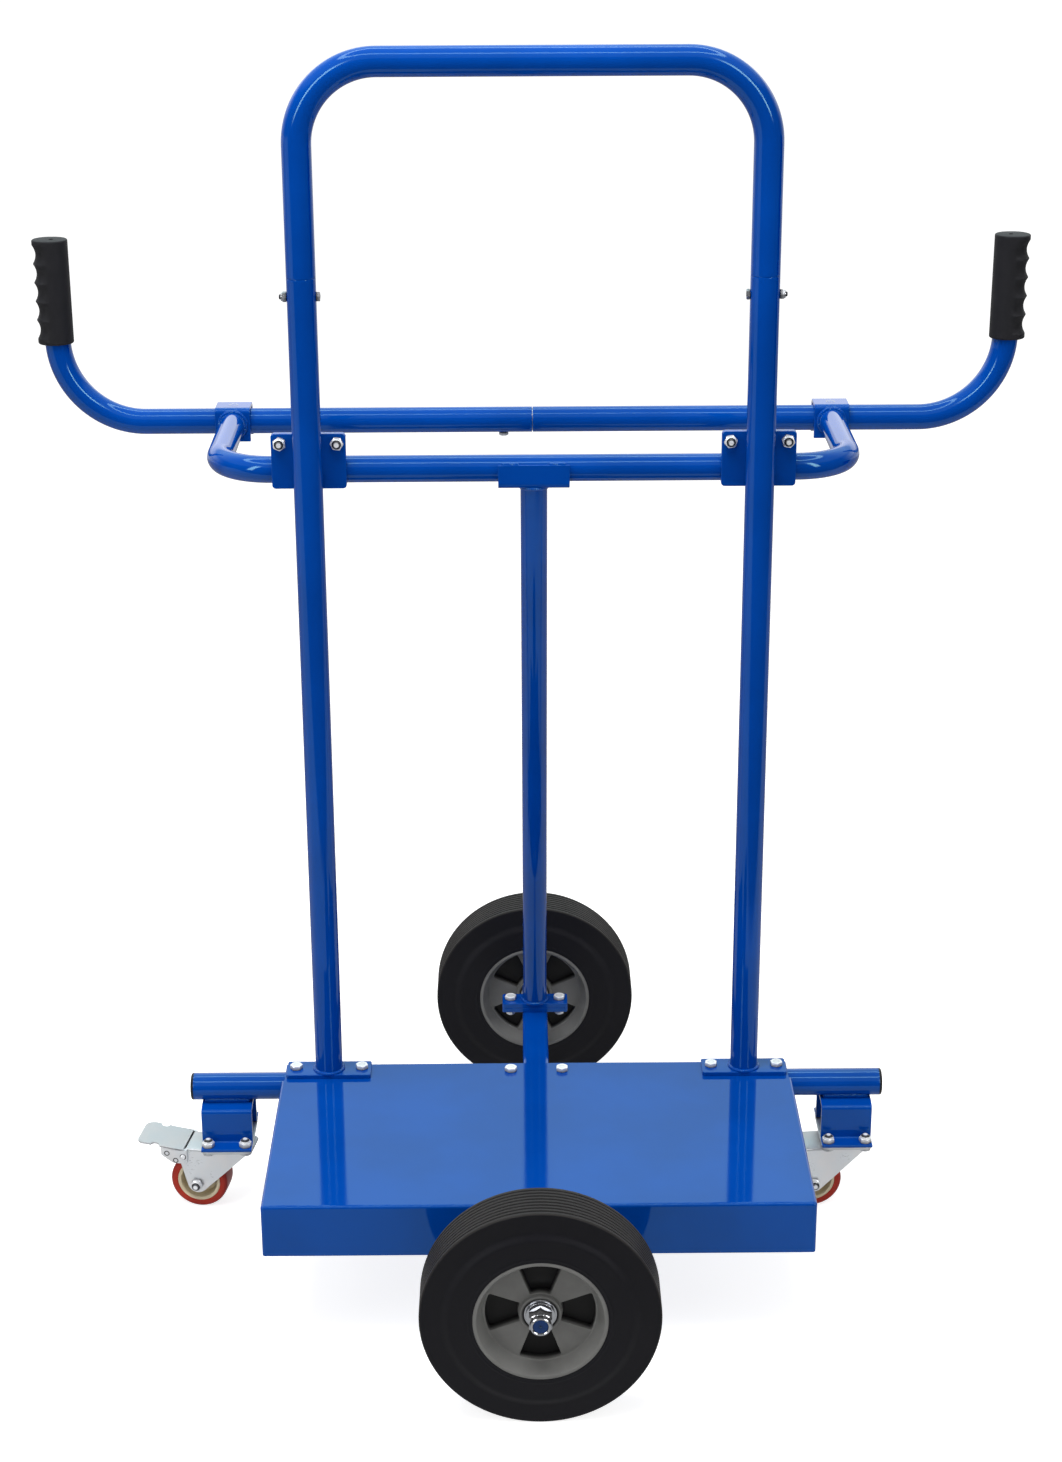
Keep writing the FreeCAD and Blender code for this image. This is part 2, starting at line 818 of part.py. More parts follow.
def caster_bracket(side):
    """Hat-shaped bracket between the cross tube and a caster."""
    top = cross_z - tube_d / 2 - weld_gap
    shoulder = top - bracket_shoulder_drop
    t = bracket_t
    right = [
        (bracket_top_half_w, top),
        (bracket_half_w, shoulder),
        (bracket_half_w, caster_h + t),
        (bracket_flange_half_w, caster_h + t),
        (bracket_flange_half_w, caster_h),
        (bracket_half_w - t, caster_h),
        (bracket_half_w - t, shoulder - t / 2),
        (bracket_top_half_w - t / 2, top - t),
    ]
    outline = right + [(-y, z) for y, z in reversed(right)]
    start_x = side * caster_x - bracket_len / 2
    bracket = prism([V(start_x, mast_y + y, z) for y, z in outline], X_AXIS * bracket_len)
    return drilled(bracket, M8, caster_bolt_points(caster_h - overrun), Z_AXIS, t + 2 * overrun)


def caster_plate(side):
    """Fixed top plate of a caster, with the seat of its swivel race."""
    centre = V(side * caster_x, mast_y, caster_plate_z)
    plate = rounded_plate(caster_plate_w, caster_plate_l, caster_plate_t, caster_plate_corner_r, centre)
    seat_z = crown_top_z + weld_gap + race_t
    seat_base = V(centre.x, centre.y, seat_z)
    seat = cylinder(race_seat_d, caster_plate_z - seat_z, seat_base, Z_AXIS)
    plate = plate.fuse(seat)
    plate = plate.cut(cylinder(kingpin_d + 2 * run_gap, caster_h, seat_base, Z_AXIS))
    return drilled(plate, M8, caster_bolt_points(caster_plate_z - overrun), Z_AXIS, 4 * overrun)


def caster_kingpin(side):
    """Rivet that holds the fork under its plate, and the swivel race around it."""
    low = V(side * caster_x, mast_y, crown_z - weld_gap)
    pin = cylinder(kingpin_d, caster_h - low.z, low, Z_AXIS)
    lower_head = cylinder(kingpin_head_d, kingpin_head_t, low, Z_AXIS * -1)
    upper_head = cylinder(kingpin_head_d, kingpin_head_t, V(low.x, low.y, caster_h), Z_AXIS)
    race_base = V(low.x, low.y, crown_top_z + weld_gap)
    race = ring(race_d, race_bore, race_t, race_base, Z_AXIS)
    return [pin.fuse([lower_head, upper_head]), race]


# Swivel casters


def turned(shape, name):
    """A piece of a caster, from the caster's own frame to its place on the dolly."""
    shape.rotate(V(0, 0, 0), Z_AXIS, caster_turn_deg[name])
    shape.translate(V(SIDES[name] * caster_x, mast_y, 0))
    return shape


def tangent_way(centre, r, other, other_r, sense):
    """Unit vector from two circles' centres to their common tangent, in the XZ plane."""
    reach = other - centre
    angle = math.atan2(reach.z, reach.x) + sense * math.acos((r - other_r) / reach.Length)
    return V(math.cos(angle), 0, math.sin(angle))


def fork_leg(start_y):
    """One leg of the fork: a tapered plate with a round foot and a lug for the pedal's pin."""
    axle = V(-caster_trail, 0, caster_axle_z)
    pin = V(pedal_pin_x, 0, pedal_pin_z)
    skirt = V(fork_front, 0, crown_top_z - fork_skirt)
    front_way = tangent_way(axle, fork_foot_r, skirt, 0, -1)
    rear_way = tangent_way(axle, fork_foot_r, pin, pedal_lug_r, 1)
    low_front = axle + front_way * fork_foot_r
    low_rear = axle + rear_way * fork_foot_r
    foot = axle - Z_AXIS * fork_foot_r
    lug_low = pin + rear_way * pedal_lug_r
    lug_end = pin + (rear_way + Z_AXIS).normalize() * pedal_lug_r
    lug_top = pin + Z_AXIS * pedal_lug_r
    step = V(-fork_crown_rear, 0, lug_top.z)
    runs = [
        Part.LineSegment(skirt, low_front),
        Part.Arc(low_front, foot, low_rear),
        Part.LineSegment(low_rear, lug_low),
        Part.Arc(lug_low, lug_end, lug_top),
        Part.LineSegment(lug_top, step),
        Part.LineSegment(step, V(-fork_crown_rear, 0, crown_top_z)),
        Part.LineSegment(V(-fork_crown_rear, 0, crown_top_z), V(fork_front, 0, crown_top_z)),
        Part.LineSegment(V(fork_front, 0, crown_top_z), skirt),
    ]
    leg = Part.Face(Part.Wire([run.toShape() for run in runs])).extrude(Y_AXIS * fork_t)
    leg.translate(V(0, start_y, 0))
    return leg


def caster_fork():
    """Fork: a crown with rounded front corners, and two legs."""
    half = fork_out_w / 2
    crown = box(-fork_crown_rear, fork_front + fork_corner_r, -half, half, crown_z, crown_top_z)
    uprights = [e for e in crown.Edges if e.BoundBox.ZLength > e.BoundBox.XLength + e.BoundBox.YLength]
    corners = [e for e in uprights if e.CenterOfMass.x > fork_front]
    crown = crown.makeFillet(fork_corner_r, corners)
    fork = crown.fuse([fork_leg(-half), fork_leg(half - fork_t)]).removeSplitter()
    fork = fork.cut(cylinder(kingpin_d + 2 * run_gap, fork_crown_t, V(0, 0, crown_z), Z_AXIS))
    axle = V(-caster_trail, -half - overrun, caster_axle_z)
    fork = fork.cut(cylinder(m8_d + 2 * run_gap, fork_out_w + 2 * overrun, axle, Y_AXIS))
    pin = V(pedal_pin_x, -half - overrun, pedal_pin_z)
    return fork.cut(cylinder(pedal_pin_d + 2 * run_gap, fork_out_w + 2 * overrun, pin, Y_AXIS))


def caster_axle():
    """Axle bolt, bush and nut of a caster, and the pedal's pivot pin."""
    half = fork_out_w / 2
    head_seat = V(-caster_trail, half, caster_axle_z)
    nut_seat = V(-caster_trail, -half, caster_axle_z)
    bolt = hex_bolt(M8_LOW, head_seat, Y_AXIS, fork_out_w)
    nut = hex_nut(M8, nut_seat, Y_AXIS * -1)
    bush_start = V(-caster_trail, -fork_in_w / 2, caster_axle_z)
    bush = ring(caster_bush_d, m8_d + 2 * run_gap, fork_in_w, bush_start, Y_AXIS)
    pin_half = pedal_out_w / 2 + bolt_tip
    pivot = cylinder(pedal_pin_d, 2 * pin_half, V(pedal_pin_x, -pin_half, pedal_pin_z), Y_AXIS)
    return [bolt, nut, bush, pivot]


def caster_tread():
    """Moulded tread with rounded edges."""
    r = caster_wheel_d / 2
    half = caster_tread_w / 2
    seat = r - caster_tread_t
    cut = caster_tread_edge_r * (1 - math.sqrt(1 / 2))
    side = [
        (r, half - caster_tread_edge_r),
        (r - cut, half - cut),
        (r - caster_tread_edge_r, half),
        (seat + weld_gap, half),
    ]
    outline = [V(-caster_trail + p, q, caster_axle_z) for p, q in side]
    outline += [V(-caster_trail + p, -q, caster_axle_z) for p, q in reversed(side)]
    return revolved(outline, V(-caster_trail, 0, caster_axle_z), Y_AXIS)


def caster_hub():
    """Moulded hub: rim, thin web and a boss that runs on the bush."""
    seat = caster_wheel_d / 2 - caster_tread_t
    half = caster_tread_w / 2
    web = caster_hub_web_t / 2
    boss_half = fork_in_w / 2 - caster_side_play
    side = [
        (seat, half),
        (seat - caster_hub_rim_t, half),
        (seat - caster_hub_rim_t, web),
        (caster_hub_boss_d / 2, web),
        (caster_hub_boss_d / 2, boss_half),
        (caster_bush_d / 2 + run_gap, boss_half),
    ]
    outline = [V(-caster_trail + p, q, caster_axle_z) for p, q in side]
    outline += [V(-caster_trail + p, -q, caster_axle_z) for p, q in reversed(side)]
    return revolved(outline, V(-caster_trail, 0, caster_axle_z), Y_AXIS)


def pedal_ear(start_y):
    """One folded ear of the pedal, outside the fork's lug, up to the plate's underside."""
    low = pedal_pin_z - pedal_ear_depth
    front = pedal_pin_x + pedal_ear_front
    rear = pedal_pin_x - pedal_ear_rear
    top = crown_top_z
    rear_top = top - pedal_tab_rise * (rear + pedal_flat_end) / pedal_ramp_run
    outline = [V(front, 0, top), V(front, 0, low), V(rear + pedal_ear_taper_run, 0, low)]
    outline += [V(rear, 0, low + pedal_ear_taper_rise), V(rear, 0, rear_top), V(-pedal_flat_end, 0, top)]
    ear = prism(outline, Y_AXIS * pedal_t)
    ear.translate(V(0, start_y, 0))
    return ear


def brake_pedal():
    """Pedal: a gently rising plate with folded ears, two notches and a tab for the foot."""
    half = pedal_out_w / 2
    front = -fork_crown_rear - pedal_split
    ramp_end = -pedal_flat_end - pedal_ramp_run
    top = crown_top_z
    side = [
        V(front, 0, top),
        V(-pedal_flat_end, 0, top),
        V(ramp_end, 0, top + pedal_tab_rise),
        V(-pedal_tab_end, 0, top + pedal_tab_rise),
        V(-pedal_tab_end, 0, top + pedal_tab_rise - pedal_t),
        V(ramp_end, 0, top + pedal_tab_rise - pedal_t),
        V(-pedal_flat_end, 0, top - pedal_t),
        V(front, 0, top - pedal_t),
    ]
    plate = prism(side, Y_AXIS * pedal_out_w)
    plate.translate(V(0, -half, 0))
    ends = [e for e in plate.Edges if e.CenterOfMass.x < ramp_end and e.BoundBox.ZLength <= pedal_t]
    corners = [e for e in ends if e.BoundBox.ZLength > weld_gap]
    plate = plate.makeFillet(pedal_tab_corner_r, corners)
    for y in (-half, half):
        plate = plate.cut(cylinder(pedal_notch_d, caster_h, V(-pedal_notch_x, y, 0), Z_AXIS))
    pedal = plate.fuse([pedal_ear(-half), pedal_ear(half - pedal_t)])
    for d, centre in ((pedal_pin_d + 2 * run_gap, V(pedal_pin_x, 0, pedal_pin_z)),) + brake_pin_places():
        start = centre - Y_AXIS * (half + overrun)
        pedal = pedal.cut(cylinder(d, pedal_out_w + 2 * overrun, start, Y_AXIS))
    return pedal


def brake_pin_places():
    """Diameter and place of the brake bar and of the spring's pin in the pedal's ears."""
    reach = caster_wheel_d / 2 + brake_bar_gap + brake_bar_d / 2
    angle = math.radians(brake_bar_angle_deg)
    bar_z = caster_axle_z + reach * math.sin(angle)
    bar = V(-caster_trail - reach * math.cos(angle), 0, bar_z)
    spring = V(pedal_pin_x - spring_pin_back, 0, pedal_pin_z + spring_pin_rise)
    return ((brake_bar_d, bar), (spring_pin_d, spring))


def brake_pins():
    """Bar that presses on the tread, and the spring's pin, both held in the ears."""
    half = pedal_out_w / 2
    return [cylinder(d, pedal_out_w, p - Y_AXIS * half, Y_AXIS) for d, p in brake_pin_places()]


# The whole dolly


def build_frame():
    """Every fixed piece, by name."""
    nodes = {}
    nodes["axle_shaft"] = [axle_shaft()]
    nodes["axle_washers"] = [washer_stack(e, o) for e in ENDS.values() for o in (False, True)]
    nodes["axle_nuts"] = [axle_nut(e) for e in ENDS.values()]
    nodes["spine_tube"] = [spine_tube()]
    nodes["spine_plugs"] = spine_plugs()
    nodes["cross_tube"] = [cross_tube()]
    nodes["cross_tube_caps"] = cross_caps()
    nodes["deck_tray"] = [deck_tray()]
    for name, side in SIDES.items():
        nodes[name + "_upright"] = [upright(side)]
        nodes[name + "_handle_bar"] = [handle_bar(side)]
        nodes[name + "_grip"] = [grip(side)]
    nodes["upright_foot_plates"] = [foot_plate(s) for s in SIDES.values()]
    nodes["top_hoop"] = [top_hoop()]
    nodes["hoop_bolts"], nodes["hoop_nuts"] = hoop_bolts()
    nodes["upright_plates"] = [mast_plate(s, mast_plate_y) for s in SIDES.values()]
    nodes["rail_plates"] = [mast_plate(s, rail_plate_y) for s in SIDES.values()]
    nodes["guard_rail"] = [guard_rail()]
    nodes["handle_saddles"] = [handle_saddle(s) for s in SIDES.values()]
    nodes["saddle_screws"] = [saddle_screw(s) for s in SIDES.values()]
    nodes["handle_joint_sleeve"] = [joint_sleeve()]
    nodes["handle_joint_screw"] = [joint_screw()]
    nodes["rear_post"] = [rear_post()]
    nodes["post_cradle"] = [post_cradle()]
    nodes["post_foot_plate"] = [post_plate(post_foot_z)]
    nodes["spine_lug_plate"] = [post_plate(spine_lug_z)]
    nodes["caster_brackets"] = [caster_bracket(s) for s in SIDES.values()]
    nodes["caster_plates"] = [caster_plate(s) for s in SIDES.values()]
    nodes["caster_kingpins"] = [p for s in SIDES.values() for p in caster_kingpin(s)]
    return nodes


def build_bolts():
    """The M8 bolts by place, and all their nuts as one group."""
    down = Z_AXIS * -1
    cross_low = cross_z - tube_d / 2
    cross = cross_bolt_points()
    rail = [p - Y_AXIS * plate_t for p in rail_bolt_points()]
    post = post_bolt_points(post_foot_z + post_foot_t)
    caster = caster_bolt_points(caster_plate_z)
    flange_top = caster_h + bracket_t
    nodes = {}
    nodes["cross_tube_bolts"] = [hex_bolt(M8, p, Z_AXIS, p.z - cross_low) for p in cross]
    nodes["rail_bolts"] = [hex_bolt(M8, p + Y_AXIS * (2 * plate_t), Y_AXIS, 2 * plate_t) for p in rail]
    nodes["post_bolts"] = [hex_bolt(M8, p, Z_AXIS, 2 * post_foot_t) for p in post]
    nodes["caster_bolts"] = [hex_bolt(M8_LOW, p, down, flange_top - caster_plate_z) for p in caster]
    nuts = [hex_nut(M8, V(p.x, p.y, cross_low), down) for p in cross]
    nuts += [hex_nut(M8, p, Y_AXIS * -1) for p in rail]
    nuts += [hex_nut(M8, p, down) for p in post_bolt_points(spine_lug_z)]
    nuts += [hex_nut(M8, p, Z_AXIS) for p in caster_bolt_points(flange_top)]
    nodes["m8_nuts"] = nuts
    return nodes


def build_wheels():
    """The two road wheels."""
    nodes = {}
    for name, end in ENDS.items():
        mid_y = end * wheel_mid_y
        turn = rear_rim_turn_deg if name == "rear" else 0
        nodes[name + "_tyre"] = [tyre(mid_y)]
        nodes[name + "_rim_shells"] = rim_shells(mid_y, turn)
        nodes[name + "_rim_core"] = [rim_core(mid_y)]
        nodes[name + "_hub_bearings"] = hub_bearings(mid_y)
    return nodes


def build_casters():
    """The two swivel casters, each turned about its own axis."""
    nodes = {}
    for name in SIDES:
        pieces = {
            "caster_fork": [caster_fork()],
            "caster_axle": caster_axle(),
            "caster_tread": [caster_tread()],
            "caster_hub": [caster_hub()],
            "brake_pedal": [brake_pedal()],
            "brake_pins": brake_pins(),
        }
        for piece, solids in pieces.items():
            nodes[name + "_" + piece] = [turned(solid, name) for solid in solids]
    return nodes


def main():
    """Build every node and write one file for each."""
    os.makedirs("parts", exist_ok=True)
    nodes = {**build_frame(), **build_bolts(), **build_wheels(), **build_casters()}
    for name, solids in nodes.items():
        shape = solids[0] if len(solids) == 1 else Part.makeCompound(solids)
        shape.exportStep("parts/" + name + ".step")
    print(len(nodes), "nodes written")


main()
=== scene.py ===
"""Looks of a door dolly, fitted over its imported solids.

Shapes are worked out in millimetres in the frame of the solids, and written to meshes in metres.
X runs along the way the dolly rolls, Y along its axle away from the viewer, Z up.
"""

import logging
import math
from dataclasses import dataclass, field
from enum import Enum
from typing import Any, Sequence

import bpy
import numpy as np
from mathutils import Matrix


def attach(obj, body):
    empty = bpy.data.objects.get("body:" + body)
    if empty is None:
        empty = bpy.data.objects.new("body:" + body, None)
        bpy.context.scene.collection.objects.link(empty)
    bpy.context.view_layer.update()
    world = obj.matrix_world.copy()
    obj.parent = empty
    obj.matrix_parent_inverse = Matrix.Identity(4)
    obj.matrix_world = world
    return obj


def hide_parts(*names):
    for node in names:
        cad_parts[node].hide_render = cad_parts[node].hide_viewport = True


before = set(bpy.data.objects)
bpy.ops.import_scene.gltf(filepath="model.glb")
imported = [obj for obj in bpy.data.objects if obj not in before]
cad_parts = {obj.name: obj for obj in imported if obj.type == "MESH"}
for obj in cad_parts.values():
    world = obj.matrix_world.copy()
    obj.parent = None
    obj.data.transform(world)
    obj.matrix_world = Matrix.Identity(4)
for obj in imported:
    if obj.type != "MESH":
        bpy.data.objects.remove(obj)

log = logging.getLogger("door_dolly")
Floats = np.ndarray
Ints = np.ndarray

MM = 0.001
TURN = 2 * math.pi
QUARTER = TURN / 4
CONE_SLOPE = math.tan(TURN / 12)
SMOOTH_BELOW = math.radians(26)
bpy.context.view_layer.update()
X_AXIS, Y_AXIS, Z_AXIS = np.eye(3)
ENDS = (-1, 1)

# Places and sizes that several pieces share, in millimetres

FIT_GAP = 0.05
AXLE_Z = 127.0
WHEEL_Y = 370.0
DECK_TOP = 177.2
MAST_X, MAST_Y, MAST_R = 247.0, 52.0, 16.0
FOOT_T = 5.0
RAIL_Y, RAIL_Z, RAIL_R = 91.2, 908.0, 15.0
ARM_X = 353.0
CASTER_X = 369.0


class Slot(Enum):
    """The material slots that pieces wear, as the part's record names them."""

    BLUE = "blue_paint"
    ZINC = "zinc"
    TYRE = "tyre_rubber"
    RIM = "rim_grey"
    CAP = "cap_black"
    GRIP = "grip_rubber"
    TREAD = "tread_red"
    HUB = "hub_cream"


class Steel(Enum):
    """Finishes of small steel pieces, in place of their slot's."""

    SCREW = "satin_screw_zinc"
    HUB = "polished_hub_zinc"


class Side(Enum):
    """The two sides of the dolly along X, as signs."""

    LEFT = -1
    RIGHT = 1

    @property
    def word(self) -> str:
        """The side's name in lower case."""
        return self.name.lower()


# Surfaces


def unit(vectors: Floats) -> Floats:
    """Vectors shortened or stretched to length 1."""
    return vectors / np.linalg.norm(vectors, axis=-1, keepdims=True)


def vec(x: float, y: float, z: float) -> Floats:
    """A point or a direction."""
    return np.array((x, y, z), float)


def around(count: int) -> Floats:
    """Even angles round a full turn, as one row."""
    return (np.arange(count) * (TURN / count))[None, :]


def quarter(count: int) -> Floats:
    """Even angles from 0 to 90 degrees."""
    return np.linspace(0, QUARTER, count)


def ramp(value: Floats) -> Floats:
    """A smooth step s s (3 - 2 s) of values held between 0 and 1."""
    s = np.clip(value, 0, 1)
    return s * s * (3 - 2 * s)


def hexagon(width: float, angles: Floats) -> Floats:
    """Radius of a hexagon: half its width over the cosine of the angle from a side's middle."""
    return width / 2 / np.cos(np.mod(angles, TURN / 6) - TURN / 12)


@dataclass
class Skin:
    """A closed surface: points in millimetres, faces, flat caps, and a tone from 0 to 1 at each point."""

    points: Floats
    quads: Ints
    caps: list[Ints] = field(default_factory=list)
    tone: Floats | None = None

    def __post_init__(self) -> None:
        """Gives every point the tone 0 where none was set."""
        if self.tone is None:
            self.tone = np.zeros(len(self.points))

    def volume(self) -> float:
        """The enclosed volume: a sixth of the sum of a . (b x c) over all triangles."""
        fans = [np.stack([np.full(len(c) - 2, c[0]), c[1:-1], c[2:]], axis=1) for c in self.caps]
        corners = np.concatenate([self.quads[:, [0, 1, 2]], self.quads[:, [0, 2, 3]], *fans])
        a, b, c = (self.points[corners[:, i]] for i in range(3))
        return float(np.einsum("ij,ij->", a, np.cross(b, c)) / 6)

    def flipped(self) -> "Skin":
        """The same surface with every face turned round."""
        return Skin(self.points, self.quads[:, ::-1], [c[::-1] for c in self.caps], self.tone)

    def closed(self) -> "Skin":
        """The surface with meeting points merged and its faces turned outwards."""
        keys = np.round(self.points, 4) + 0.0
        _, first, place = np.unique(keys, axis=0, return_index=True, return_inverse=True)
        place = place.ravel()
        skin = Skin(self.points[first], place[self.quads], [place[c] for c in self.caps], self.tone[first])
        return skin if skin.volume() >= 0 else skin.flipped()

    def moved(self, turn: Floats, offset: Floats) -> "Skin":
        """A turned and shifted copy.

        Args:
            turn: A 3 by 3 matrix; one that mirrors also turns the faces round.
            offset: The shift in millimetres.

        Returns:
            The copy.
        """
        skin = Skin(self.points @ turn.T + offset, self.quads, self.caps, self.tone)
        return skin if np.linalg.det(turn) > 0 else skin.flipped()

    def shifted(self, x: float, y: float, z: float) -> "Skin":
        """A copy shifted by x, y and z."""
        return self.moved(np.eye(3), vec(x, y, z))

    def toned(self, tone: float) -> "Skin":
        """A copy in one tone all over."""
        return Skin(self.points, self.quads, self.caps, np.full(len(self.points), tone))

    def mirrored(self) -> "Skin":
        """A copy on the other side of the dolly's middle plane, X turned to -X."""
        return self.moved(np.diag((-1.0, 1.0, 1.0)), np.zeros(3))

    def faces(self) -> list[list[int]]:
        """Faces as lists of corners; a face with one doubled corner becomes a triangle."""
        doubled = self.quads == np.roll(self.quads, -1, axis=1)
        whole = self.quads[~doubled.any(axis=1)]
        pinched = doubled.sum(axis=1) == 1
        order = (doubled[pinched].argmax(axis=1)[:, None] + np.arange(1, 4)) % 4
        thirds = np.take_along_axis(self.quads[pinched], order, axis=1)
        return whole.tolist() + thirds.tolist() + [c[c != np.roll(c, -1)].tolist() for c in self.caps]


def joined(skins: Sequence[Skin]) -> Skin:
    """Several surfaces as one set of points and faces."""
    starts = np.cumsum([0] + [len(s.points) for s in skins[:-1]])
    return Skin(
        np.concatenate([s.points for s in skins]),
        np.concatenate([s.quads + n for s, n in zip(skins, starts)]),
        [c + n for s, n in zip(skins, starts) for c in s.caps],
        np.concatenate([s.tone for s in skins]),
    )


def grid(points: Floats, close_u: bool = False, close_v: bool = False, tone: Floats | None = None) -> Skin:
    """Faces over a grid of points.

    Args:
        points: Points by row, column and coordinate.
        close_u: Whether the last row joins the first.
        close_v: Whether the last column joins the first.
        tone: A tone for each point of the grid.

    Returns:
        The surface, not yet turned outwards.
    """
    index = np.arange(points.shape[0] * points.shape[1]).reshape(points.shape[:2])
    here = index if close_u else index[:-1]
    there = np.roll(index, -1, axis=0) if close_u else index[1:]
    if close_v:
        corners = (here, there, np.roll(there, -1, axis=1), np.roll(here, -1, axis=1))
    else:
        corners = (here[:, :-1], there[:, :-1], there[:, 1:], here[:, 1:])
    quads = np.stack([c.ravel() for c in corners], axis=1)
    return Skin(points.reshape(-1, 3), quads, [], None if tone is None else tone.ravel())


def cross_axes(axis: Floats) -> tuple[Floats, Floats]:
    """Two directions across an axis: upwards and sideways, or X and Y where the axis is upright."""
    if abs(axis[2]) > 0.99:
        return X_AXIS, Y_AXIS * np.sign(axis[2])
    beside = unit(np.cross(axis, Z_AXIS))
    return np.cross(beside, axis), beside


def polar(
    radii: Floats,
    heights: Floats,
    angles: Floats,
    place: Floats,
    axis: Floats,
    ring: bool = False,
    tone: Floats | None = None,
) -> Skin:
    """Rings about an axis: place + axis height + radius (cos angle across + sin angle beside).

    Args:
        radii: Radius by ring and angle; a ring of radius 0 closes a pole.
        heights: Height along the axis by ring and angle.
        angles: Angle by ring and angle, or one row for all rings.
        place: Point of height 0 on the axis.
        axis: Direction of the axis, of length 1.
        ring: Whether the last ring joins the first.
        tone: Tone by ring and angle.

    Returns:
        The closed surface.
    """
    radii, heights, angles = np.broadcast_arrays(radii, heights, angles)
    across, beside = cross_axes(axis)
    spokes = np.cos(angles)[..., None] * across + np.sin(angles)[..., None] * beside
    points = place + heights[..., None] * axis + radii[..., None] * spokes
    if tone is not None:
        tone = np.broadcast_to(tone, radii.shape)
    return grid(points, close_u=ring, close_v=True, tone=tone).closed()


def lathe(
    profile: Floats | Sequence[tuple],
    place: Floats,
    axis: Floats,
    count: int = 64,
    ring: bool = False,
    tone: Floats | None = None,
) -> Skin:
    """A profile of (radius, height) turned about an axis.

    Args:
        profile: Radius and height of each ring; it ends at radius 0 unless it is a ring.
        place: Point of height 0 on the axis.
        axis: Direction of the axis.
        count: Number of points around.
        ring: Whether the profile is a closed loop.
        tone: One tone for each ring.

    Returns:
        The closed surface.
    """
    profile = np.asarray(profile, float)
    rows = None if tone is None else np.asarray(tone, float)[:, None]
    return polar(profile[:, :1], profile[:, 1:], around(count), place, axis, ring, rows)


def ringed(rows: Sequence[tuple], angles: Floats, place: Floats, axis: Floats, ring: bool = False) -> Skin:
    """Rings about an axis, where radius and height may change with the angle.

    Args:
        rows: Radius, height and tone of each ring or set of rings, each a number or an array by angle.
        angles: Angles of the points, as one row.
        place: Point of height 0 on the axis.
        axis: Direction of the axis.
        ring: Whether the last ring joins the first.

    Returns:
        The closed surface.
    """
    wide = [np.broadcast_arrays(*row, angles)[:3] for row in rows]
    radii, heights, tone = (np.concatenate(values) for values in zip(*wide))
    return polar(radii, heights, angles, place, axis, ring, tone)


def rim_steps(radius: float, steps: int = 4) -> tuple[Floats, Floats]:
    """A rounded rim as steps: inset r (1 - sin t) at depth r (1 - cos t), t from 0 to 90 degrees."""
    t = quarter(steps + 1)
    return radius * (1 - np.sin(t)), radius * (1 - np.cos(t))


def disc(
    radius: float,
    low: float,
    high: float,
    place: Floats,
    axis: Floats,
    edge: float = 0.5,
    bore: float = 0.0,
    count: int = 64,
) -> Skin:
    """A disc or ring with rounded rims, turned about an axis.

    Args:
        radius: Outer radius.
        low: Height of the lower face.
        high: Height of the upper face.
        place: Point of height 0 on the axis.
        axis: Direction of the axis.
        edge: Radius of the rims.
        bore: Radius of the hole, or 0.
        count: Number of points around.

    Returns:
        The closed surface.
    """
    rim = list(zip(*rim_steps(edge)))
    rows = [(radius - step, low + depth) for step, depth in rim]
    rows += [(radius - step, high - depth) for step, depth in rim[::-1]]
    return lathe([*rows, (bore, high), (bore, low)], place, axis, count, ring=True)


def tangent_arcs(
    corners: Floats,
    into: Floats,
    out: Floats,
    radii: Floats | float,
    steps: int,
) -> tuple[Floats, Floats]:
    """Arcs that touch both sides of each corner.

    An arc's points are its middle plus (sin((1-t)a) u + sin(ta) v) / sin a, for the two arms u and v
    from its middle to its ends and the turn a between them.

    Args:
        corners: The corners, in a plane or in space.
        into: Direction of the side that comes to each corner.
        out: Direction of the side that leaves it.
        radii: Radius of each arc, as a column, or one for all.
        steps: Parts of each arc.

    Returns:
        Points and directions, by corner and step.
    """
    turn = np.arccos(np.clip((into * out).sum(axis=1, keepdims=True), -1, 1))
    reach = radii * np.tan(turn / 2)
    middle = (corners + unit(out - into) * radii / np.cos(turn / 2))[:, None, :]
    u = (corners - into * reach)[:, None, :] - middle
    v = (corners + out * reach)[:, None, :] - middle
    t = np.linspace(0, 1, steps + 1)[None, :, None]
    a = turn[:, :, None]
    points = middle + (np.sin((1 - t) * a) * u + np.sin(t * a) * v) / np.sin(a)
    return points, unit(np.cos(t * a) * v - np.cos((1 - t) * a) * u)


def rounded_outline(corners: Floats, radii: Floats | float, steps: int = 5, support: float = 0.4) -> Floats:
    """A closed outline whose corners are tangent arcs, with a point just before and after each arc.

    Args:
        corners: Corners of the outline, n by 2.
        radii: Radius of each corner, or one for all.
        steps: Parts of each arc.
        support: Distance of the extra points from the arc's ends.

    Returns:
        The points of the outline.
    """
    corners = np.asarray(corners, float)
    radii = np.broadcast_to(np.asarray(radii, float), (len(corners),))[:, None]
    into = unit(corners - np.roll(corners, 1, axis=0))
    out = unit(np.roll(corners, -1, axis=0) - corners)
    arcs, _ = tangent_arcs(corners, into, out, radii, steps)
    before = arcs[:, :1] - (into * support)[:, None, :]
    after = arcs[:, -1:] + (out * support)[:, None, :]
    return np.concatenate([before, arcs, after], axis=1).reshape(-1, 2)


def rectangle(length: float, width: float) -> Floats:
    """Corners of a rectangle about the origin."""
    return np.array([(-1, -1), (1, -1), (1, 1), (-1, 1)], float) * (length / 2, width / 2)


